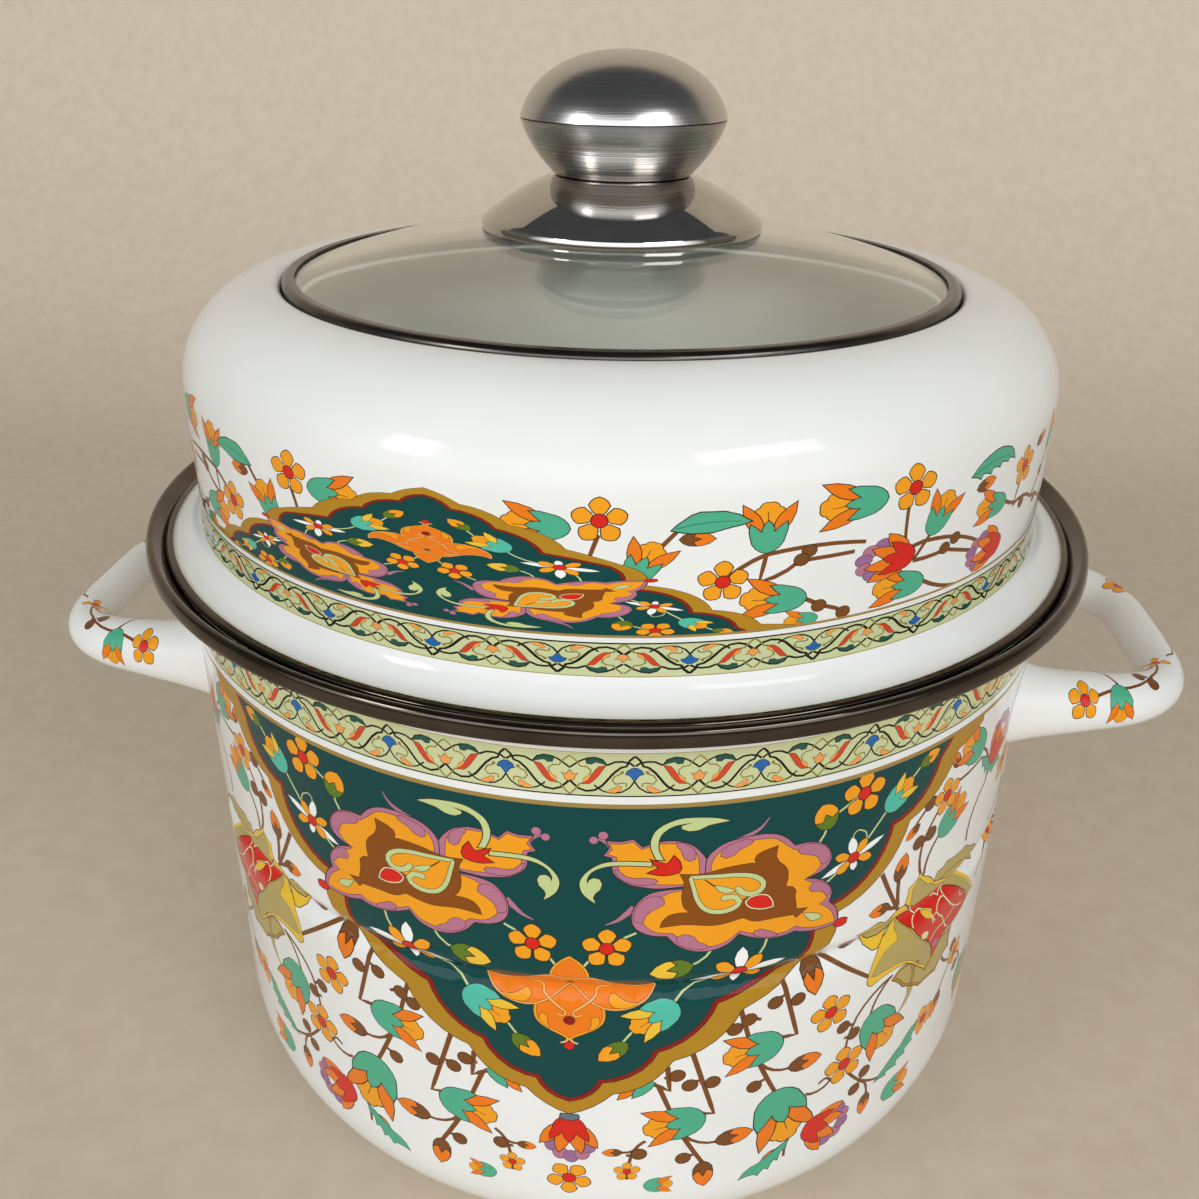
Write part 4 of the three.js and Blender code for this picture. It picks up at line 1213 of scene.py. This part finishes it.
def lid_spray():
    """Stems and flowers on the right of the lid's medallion, up to the middle of the side."""
    twigs = (
        [(36, 224, 0), (34.4, 219.4)], [(47.6, 220.4, 0), (52.4, 225.6)],
        [(62.4, 214, -0.1), (70.4, 218.6, -0.08), (93.6, 218.4)],
        [(70.6, 219.4, 0), (69.4, 212.6, 0.15), (78, 216.4, 0), (91, 216.6)],
        [(80.4, 207.2, 0.05), (88, 203.8, 0), (90.6, 201.6)], [(104.2, 226, 0.05), (104.6, 215.4)],
        [(112, 216.4, 0), (107.6, 211)], [(106.8, 214.6, -0.1), (114, 214.8, -0.1), (131, 209.6)],
        [(107.6, 211, 0.05), (118, 211.2, 0), (130, 207.6)], [(112, 205, 0.1), (124, 200.9)],
        [(141.5, 216.4, 0.1), (147, 214.6, -0.1), (150, 222)],
        [(146, 214, -0.2), (160, 212, -0.1), (172, 208)], [(160, 212, 0.1), (170, 221)],
    )
    shapes = stems(twigs, 0.72)
    berries = (
        (80, 218.4, 80), (78.4, 216.6, -60), (83.6, 205.2, 240), (89.8, 202.6, 30), (121, 213.2, 60),
        (117.6, 211.6, -60), (152, 213, 80), (164, 210.6, -80), (166, 217, 110),
    )
    shapes += scattered(inked(disc(2.1), "stem"), berries, size=0.8, squash=0.8)
    buds = ((52.2, 223, 0, 0.72), (126.6, 223.2, 10, 0.75), (172, 208, -20, 0.75), (157, 226, 20, 0.7))
    shapes += scattered(bud(), buds, squash=0.74)
    tulips = (
        (30.4, 225, 176, 0.9), (42.6, 213.4, 66, 0.82), (70.5, 219, 90, 0.92), (80.4, 207.4, 172, 0.95),
        (98, 227.6, 181, 1.05), (112, 216, 68, 0.85), (112, 205, 172, 0.95), (141.5, 216.4, 170, 0.86),
        (83.6, 202.4, 180, 0.5), (170, 221, 60, 0.8),
    )
    shapes += scattered(tulip(girth=0.78), tulips, squash=0.76)
    blossoms = (
        (36.2, 227, 0, 0.95), (61.6, 213.2, 0, 0.9), (105.4, 228.4, 0, 1.0), (150, 223, 0, 0.92),
        (182, 216, 0, 0.92),
    )
    shapes += scattered(blossom(), blossoms, squash=0.85)
    shapes += placed(smooth_leaf(), 50.6, 225, 4, 0.98) + placed(curled_leaf(), 123.8, 226.8)
    red_flowers = ((107.6, 212, 166), (142.4, 205.4, 166, 0.98))
    return shapes + scattered(red_flower(), red_flowers, squash=0.64)


LID_VINE_REPEATS = 27
LID_VINE_TOP, LID_VINE_HEIGHT, LID_VINE_WIDTH = 199.2, 0.67, 0.99
LID_MEDALLION_TOP, LID_MEDALLION_LOW, LID_MEDALLION_WIDTH = 230.6, 201, 0.685
MEDALLION_TOP, MEDALLION_TIP = 162.4, 63.6
LID_STRIPES = (
    (190.4, 191.6, "enamel"),
    (191.6, 191.8, "gold line"),
    (191.8, 199.3, "band"),
    (199.3, 199.65, "band line"),
    (199.65, 200.8, "enamel"),
    (200.8, 201.4, "gold line"),
)


def lid_medallion():
    """The pot's medallion upside down, narrower and flattened to the height of the lid's wall."""
    squash = (LID_MEDALLION_TOP - LID_MEDALLION_LOW) / (MEDALLION_TOP - MEDALLION_TIP)
    shapes = []
    for shape, ink in medallion():
        level = LID_MEDALLION_LOW + (MEDALLION_TOP - shape.imag) * squash
        shapes.append((LID_MEDALLION_WIDTH * shape.real + 1j * level, ink))
    return shapes


def lid_artwork(length):
    """All that is printed on the lid, turned against the pot as in the photograph."""
    front = mirrored(lid_spray()) + lid_medallion()
    shapes = front + moved(front, length / 2)
    for low, high, ink in LID_STRIPES:
        shapes += stripe(low, high, length, ink)
    repeat = length / LID_VINE_REPEATS
    unit = []
    for shape, ink in vine_band(repeat, 1.5):
        unit.append((shape.real * LID_VINE_WIDTH + 1j * (LID_VINE_TOP - LID_VINE_HEIGHT * shape.imag), ink))
    return moved(shapes + tiled(unit, repeat, LID_VINE_REPEATS), LID_TURN)


LID_LENGTH = 2 * math.pi * DOME_RADIUS
LID_ROW_STEP, LID_TOP_GAP = 4.0, 2
ROWS_PAST_WALL = 7
wall_row = 1 + FLANGE_STEPS
first_printed, last_printed = wall_row - ROWS_PAST_WALL, wall_row + ROWS_PAST_WALL
place, runs = wound_round(lid_section(), DOME_RADIUS, wall_row)
between = np.arange(runs[wall_row] + LID_ROW_STEP, runs[wall_row + 1] - LID_TOP_GAP, LID_ROW_STEP)
rows = sorted([*runs[first_printed : last_printed + 1], *between])
lid_dome = enamelled(
    "lid_dome_enamelled",
    [
        plain(runs[: first_printed + 1], LID_LENGTH, COLUMNS),
        printed(lid_artwork(LID_LENGTH), LID_LENGTH, rows, COLUMNS),
        plain(runs[last_printed:], LID_LENGTH, COLUMNS),
    ],
    place,
)
fitted(lid_dome, ENAMEL, "lid", "lid_dome")

# Rim of the lid. The same polished strip of stainless steel, narrower and folded flat over the edge of the
# flange, where it rests on the flare of the mouth.
LID_LEG, LID_FOLD = 0.9, 0.86


def folded_strip(edge, leg, radius):
    """Section of a strip folded round the edge of a flat sheet."""
    fold = arc(0, radius, -90, 90)
    return sheet_faces(edge + np.concatenate([[fold[0] - leg], fold, [fold[-1] - leg]]), STRIP)


lid_strip = turned("lid_rim_strip", folded_strip(LID_EDGE + 1j * LID_LEVEL, LID_LEG, LID_FOLD))
fitted(lid_strip, RIM_STEEL, "lid", "lid_rim_ring")

# Window. A shallow dome of tempered glass with one hole in its middle, on a seal of grey silicone that lies
# on the ledge of the dome. A rolled steel ring holds both down.
GLASS_RADIUS, GLASS, GLASS_CURVE, GLASS_HOLE = 90.1, 4, 290, 4
GLASS_APEX = LID_LEVEL + 80.03
EDGE_BELOW, EDGE_ABOVE = 0.6, 0.4
LEDGE_TOP = LID_LEVEL + 60.18
SEAL, SEAL_INNER, SEAL_LIP, SEAL_OUTER = 1.2, 86.5, 90.4, 91.1
RING_SIDE, RING_ROUND, RING_RADIUS, RING_END = [
    91.65 + 60.2j, 91.65 + 62j
], 90.1 + 65.2j, 1.55, 88.5 + 66.65j


def glass_top(r):
    return GLASS_APEX - (GLASS_CURVE - np.sqrt(GLASS_CURVE**2 - r**2))


def tempered_glass(w):
    """Soda-lime glass, slightly green. Shadow rays pass, so that light reaches what is under it."""
    _, tone = mottled(w, 14.0, 2.0, "#f6faf2", "#fbfdf8")
    glass = {"Base Color": tone, "Roughness": 0.02, "IOR": 1.5, "Transmission Weight": 1.0}
    clear = w.node("BsdfTransparent", (), {"Color": (0.97, 0.985, 0.96, 1)})
    shadow = w.node("LightPath", (), (), "Is Shadow Ray")
    return w.node("MixShader", (), {0: shadow, 1: w.node("BsdfPrincipled", (), glass), 2: clear})


def soft_silicone(w):
    """Moulded rubber, matt and a little dusty."""
    dust, tone = mottled(w, 400.0, 3.0, "#55585a", "#6a6d6e")
    return {"Base Color": tone, "Roughness": 0.5 + 0.1 * dust}


SILICONE = finish("grey_silicone", soft_silicone)
seal = [
    complex(SEAL_INNER, LEDGE_TOP),
    complex(SEAL_OUTER, LEDGE_TOP),
    complex(SEAL_OUTER, glass_top(GLASS_RADIUS)),
    complex(SEAL_LIP, glass_top(GLASS_RADIUS)),
    complex(SEAL_LIP, LEDGE_TOP + SEAL),
    complex(SEAL_INNER, LEDGE_TOP + SEAL),
]
fitted(turned("window_seal", seal), SILICONE, "lid", "glass_seal")
inner_edge = GLASS_RADIUS - EDGE_BELOW
reach = np.append(np.linspace(GLASS_HOLE, inner_edge, 40), GLASS_RADIUS)
under = reach + 1j * (glass_top(np.minimum(reach, inner_edge)) - GLASS)
over = reach + 1j * glass_top(reach)
under[-1] += 1j * EDGE_BELOW
over[-1] -= 1j * EDGE_ABOVE
pane = turned("window_glass", np.concatenate([under, over[::-1]]))
fitted(pane, finish("tempered_glass", tempered_glass), "lid", "glass_panel")
RING_STEEL = finish("dark_steel", lambda w: worked_steel(w, 120.0, 3.0, "#4f4a46", "#67615b", 0.16, 0.1))
ring = np.concatenate([RING_SIDE, arc(RING_ROUND, RING_RADIUS, 0, 100, 14), [RING_END]]) + 1j * LID_LEVEL
fitted(turned("window_ring", sheet_faces(ring, STRIP)), RING_STEEL, "lid", "glass_rim_ring")

# Knob. Two spun steel shells pressed together, brushed below and satin above, on a polished cone that
# stands on the glass with a silicone gasket under its foot. One screw draws all of it down.
SHELL = 0.8
SCREW_HOLE = 3
CONE_LIP = [37.85 - 2.2j, 37.85 - 0.75j]
CONE_FOOT, CONE_NECK, CONE_SWELL = 37.6 - 0.1j, 19.3 + 10.564j, 0.8 + 1.3j
CONE_GASKET = np.array([34.3 - 1.736j, 37.2 - 1.9j, 37.2 - 0.936j, 34.3 - 0.936j])
CUP_FLOOR, CUP_SIDE, CUP_EDGE = 18.2 + 11.664j, 25.2 + 18.6j, 26.9 + 25.06j
CROWN_RADIUS, CROWN_LEVEL, CROWN_SUNK, CROWN_TALL, CROWN_ROUND = 27.19, 25.164, 2.7, 18.6, 0.96
ON_AXIS = 0.02


def brushed_steel(w, depth, dark):
    """Spun and brushed: fine lines of some depth run round, so the reflection smears up and down."""
    place = w.node("TexCoord", (), (), "Object")
    height = w.node("SeparateXYZ", (), {0: place}, "Z")
    lines = w.node("TexNoise", {"noise_dimensions": "1D"}, {"W": height, "Scale": 2600.0, "Detail": 3.0})
    broad = w.node("TexNoise", {"noise_dimensions": "1D"}, {"W": height, "Scale": 420.0, "Detail": 2.0})
    tone = w.node("ValToRGB", {"stops": ((0.3, linear(dark)), (0.7, linear("#d0cdca")))}, {"Fac": lines})
    bump = w.node("Bump", (), {"Strength": 0.22 * depth, "Distance": 0.0002, "Height": lines + 0.8 * broad})
    return {"Base Color": tone, "Metallic": 1.0, "Roughness": 0.17 + 0.12 * lines, "Normal": bump}


BRUSHED = finish("brushed_knob_steel", lambda w: brushed_steel(w, 1.0, "#a19d99"))
SATIN = finish("satin_knob_steel", lambda w: brushed_steel(w, 0.4, "#c3c0bc"))
MIRROR = finish(
    "polished_knob_steel", lambda w: worked_steel(w, 90.0, 3.0, "#bdb8b2", "#ccc8c3", 0.02, 0.05)
)
side = bent(CONE_FOOT, (CONE_FOOT + CONE_NECK) / 2 + CONE_SWELL, CONE_NECK)
cone = np.concatenate([CONE_LIP, side, [complex(SCREW_HOLE, CONE_NECK.imag)]]) + 1j * GLASS_APEX
fitted(turned("knob_cone", sheet_faces(cone, SHELL)), MIRROR, "lid", "knob_base")
gasket = turned("cone_gasket", CONE_GASKET + 1j * GLASS_APEX)
fitted(gasket, SILICONE, "lid", "base_gasket")
cup = np.append(complex(SCREW_HOLE, CUP_FLOOR.imag), bent(CUP_FLOOR, CUP_SIDE, CUP_EDGE)) + 1j * GLASS_APEX
fitted(turned("knob_lower_shell", sheet_faces(cup, SHELL)), BRUSHED, "lid", "knob_cup")
swing = np.linspace(math.asin(CROWN_SUNK / CROWN_TALL), math.pi / 2, 33)
level = CROWN_LEVEL - CROWN_SUNK + CROWN_TALL * np.sin(swing) + GLASS_APEX
crown = CROWN_RADIUS * np.cos(swing) ** CROWN_ROUND + 1j * level
crown[-1] = complex(ON_AXIS, level[-1])
fitted(turned("knob_upper_shell", sheet_faces(crown, SHELL)), SATIN, "lid", "knob_cap")

# Fasteners of the knob. A plated pan head screw goes up through a steel washer, a silicone washer and the
# glass into the knob, where a nut on the floor of the lower shell holds it.
WASHER_RADIUS = 9
HEAD_ROUND = arc(2.4 - 9.2j, 2.3, -80, 0, 8, 1.2)[:-1]
HEAD_SIDE = [4.8 - 8.6j, 4.8 - 7.44j, 2.5 - 7.44j]
SHANK_END = [2.5 + 16.2j, 2.1 + 16.66j]


def flat_ring(inner, outer, low, high, soft=0.3):
    """Section of a ring with softened outer edges, heights from the top of the glass."""
    corners = [
        complex(inner, low),
        complex(outer - soft, low),
        complex(outer, low + soft),
        complex(outer, high - soft),
        complex(outer - soft, high),
        complex(inner, high),
    ]
    return np.array(corners) + 1j * GLASS_APEX


PLATED = finish("plated_steel", lambda w: worked_steel(w, 300.0, 3.0, "#a9aaa8", "#c2c3c0", 0.25, 0.15))
washer = turned("soft_washer", flat_ring(SCREW_HOLE, WASHER_RADIUS, -5.64, -4.44))
fitted(washer, SILICONE, "lid", "glass_washer")
washer = turned("steel_washer", flat_ring(SCREW_HOLE, WASHER_RADIUS, -7.14, -5.94))
fitted(washer, PLATED, "lid", "screw_washer")
nut = turned("hexagon_nut", flat_ring(2.8, 4.6, 12.364, 16.364, 0.5), 6, 20)
fitted(nut, PLATED, "lid", "knob_nut")
tip = [complex(ON_AXIS, SHANK_END[-1].imag)]
shank = np.concatenate([[complex(ON_AXIS, -10.44)], HEAD_ROUND, HEAD_SIDE, SHANK_END, tip])
screw = turned("pan_head_screw", shank + 1j * GLASS_APEX, 48)
fitted(screw, PLATED, "lid", "knob_screw")

# Studio. Plain pale paper that runs from the floor up into a backdrop, a large soft lamp overhead and
# another in front, and two windows whose reflections show in the glaze.
FLOOR_REACH = 3.0
FLOOR_DROP = 0.0002
BEND_START, BEND_RADIUS, BACKDROP_TOP = 0.5, 0.5, 1.8
POT_MIDDLE = (0, 0, 0.1)


def pale_paper(w):
    _, tone = mottled(w, 90.0, 4.0, "#cfc0ab", "#d6c8b4")
    return {"Base Color": tone, "Roughness": 0.8}


side = [(-FLOOR_REACH, 0), (BEND_START, 0)]
for a in np.radians(np.linspace(7.5, 90, 12)):
    side.append((BEND_START + BEND_RADIUS * math.sin(a), BEND_RADIUS - BEND_RADIUS * math.cos(a)))
side.append((BEND_START + BEND_RADIUS, BACKDROP_TOP))
points = [(x, y, z - FLOOR_DROP) for y, z in side for x in (-FLOOR_REACH, FLOOR_REACH)]
faces = [(2 * i, 2 * i + 1, 2 * i + 3, 2 * i + 2) for i in range(len(side) - 1)]
floor = smooth_piece("floor_and_backdrop", points, faces)
floor.data.materials.append(finish("pale_paper", pale_paper))


def lamp(name, place, aim, size, power, in_glaze):
    """Flat lamp of a width and height, turned to what it lights. Its mirror image may show in the glaze."""
    data = bpy.data.lights.new(name, "AREA")
    data.shape, data.size, data.size_y, data.energy = "RECTANGLE", size[0], size[1], power
    made = bpy.data.objects.new(name, data)
    made.location = place
    made.visible_glossy = in_glaze
    made.rotation_euler = (Vector(aim) - Vector(place)).to_track_quat("-Z", "Y").to_euler()
    bpy.context.scene.collection.objects.link(made)


lamp("overhead", (0.0, 0.1, 1.7), POT_MIDDLE, (1.2, 1.0), 2.3, False)
lamp("front", (0.1, -1.5, 1.0), POT_MIDDLE, (1.6, 0.9), 4.4, False)
lamp("left_window", (-0.93, -0.87, 0.81), (-0.03, -0.11, 0.24), (0.28, 0.34), 2.6, True)
lamp("right_window", (0.76, -0.89, 1.0), (0.04, -0.11, 0.24), (0.7, 0.26), 3.6, True)


def soft_room(w):
    """Dim room with a wide bright opening behind the camera, which the polished steel reflects."""
    black, white = (0, 0, 0, 1), (1, 1, 1, 1)
    way = w.node("TexCoord", (), (), "Generated")
    height = w.node("SeparateXYZ", (), {0: way}, "Z")
    behind = w.node("SeparateXYZ", (), {0: way}, "Y") * -1.0
    stops = ((0.02, black), (0.1, white), (0.46, white), (0.58, black))
    tall = w.node("ValToRGB", {"stops": stops}, {"Fac": height})
    wide = w.node("ValToRGB", {"stops": ((0.25, black), (0.6, white))}, {"Fac": behind})
    stops = ((0.0, linear("#8f867b")), (0.3, linear("#a9a6a1")), (0.7, linear("#6d7074")))
    walls = w.node("ValToRGB", {"stops": stops}, {"Fac": height})
    tone = w.node("Mix", {"data_type": "RGBA"}, {0: tall * wide, 6: walls, 7: (3.9, 4.1, 4.3, 1)}, 2)
    return w.node("Background", (), {"Color": tone, "Strength": 0.5})


room = bpy.data.worlds.new("room")
room.use_nodes = True
room.node_tree.nodes.clear()
start = Wire(room.node_tree)
start.node("OutputWorld", (), {"Surface": soft_room(start)})
bpy.context.scene.world = room

# Camera, where the photograph was taken from: a phone held about a third of a metre away, above the lid
# and a little to the right of its middle.
CAMERA_PLACE = Vector((22.9, -326.7, 316.5))
CAMERA_HEADING, CAMERA_PITCH, CAMERA_ROLL = 4.81, 27.18, 0.83
PHOTO_FOCUS, PHOTO_WIDTH = 1150, 1199
SENSOR = 36
NEAREST = 0.01
data = bpy.data.cameras.new("camera")
data.sensor_width = SENSOR
data.lens = SENSOR * PHOTO_FOCUS / PHOTO_WIDTH
data.clip_start = NEAREST
camera = bpy.data.objects.new("camera", data)
camera.matrix_world = (
    Matrix.Translation(CAMERA_PLACE * MM)
    @ Matrix.Rotation(math.radians(CAMERA_HEADING), 4, "Z")
    @ Matrix.Rotation(math.radians(90 - CAMERA_PITCH), 4, "X")
    @ Matrix.Rotation(math.radians(CAMERA_ROLL), 4, "Z")
)
bpy.context.scene.collection.objects.link(camera)
bpy.context.scene.camera = camera
bpy.context.scene.view_settings.view_transform = "Standard"
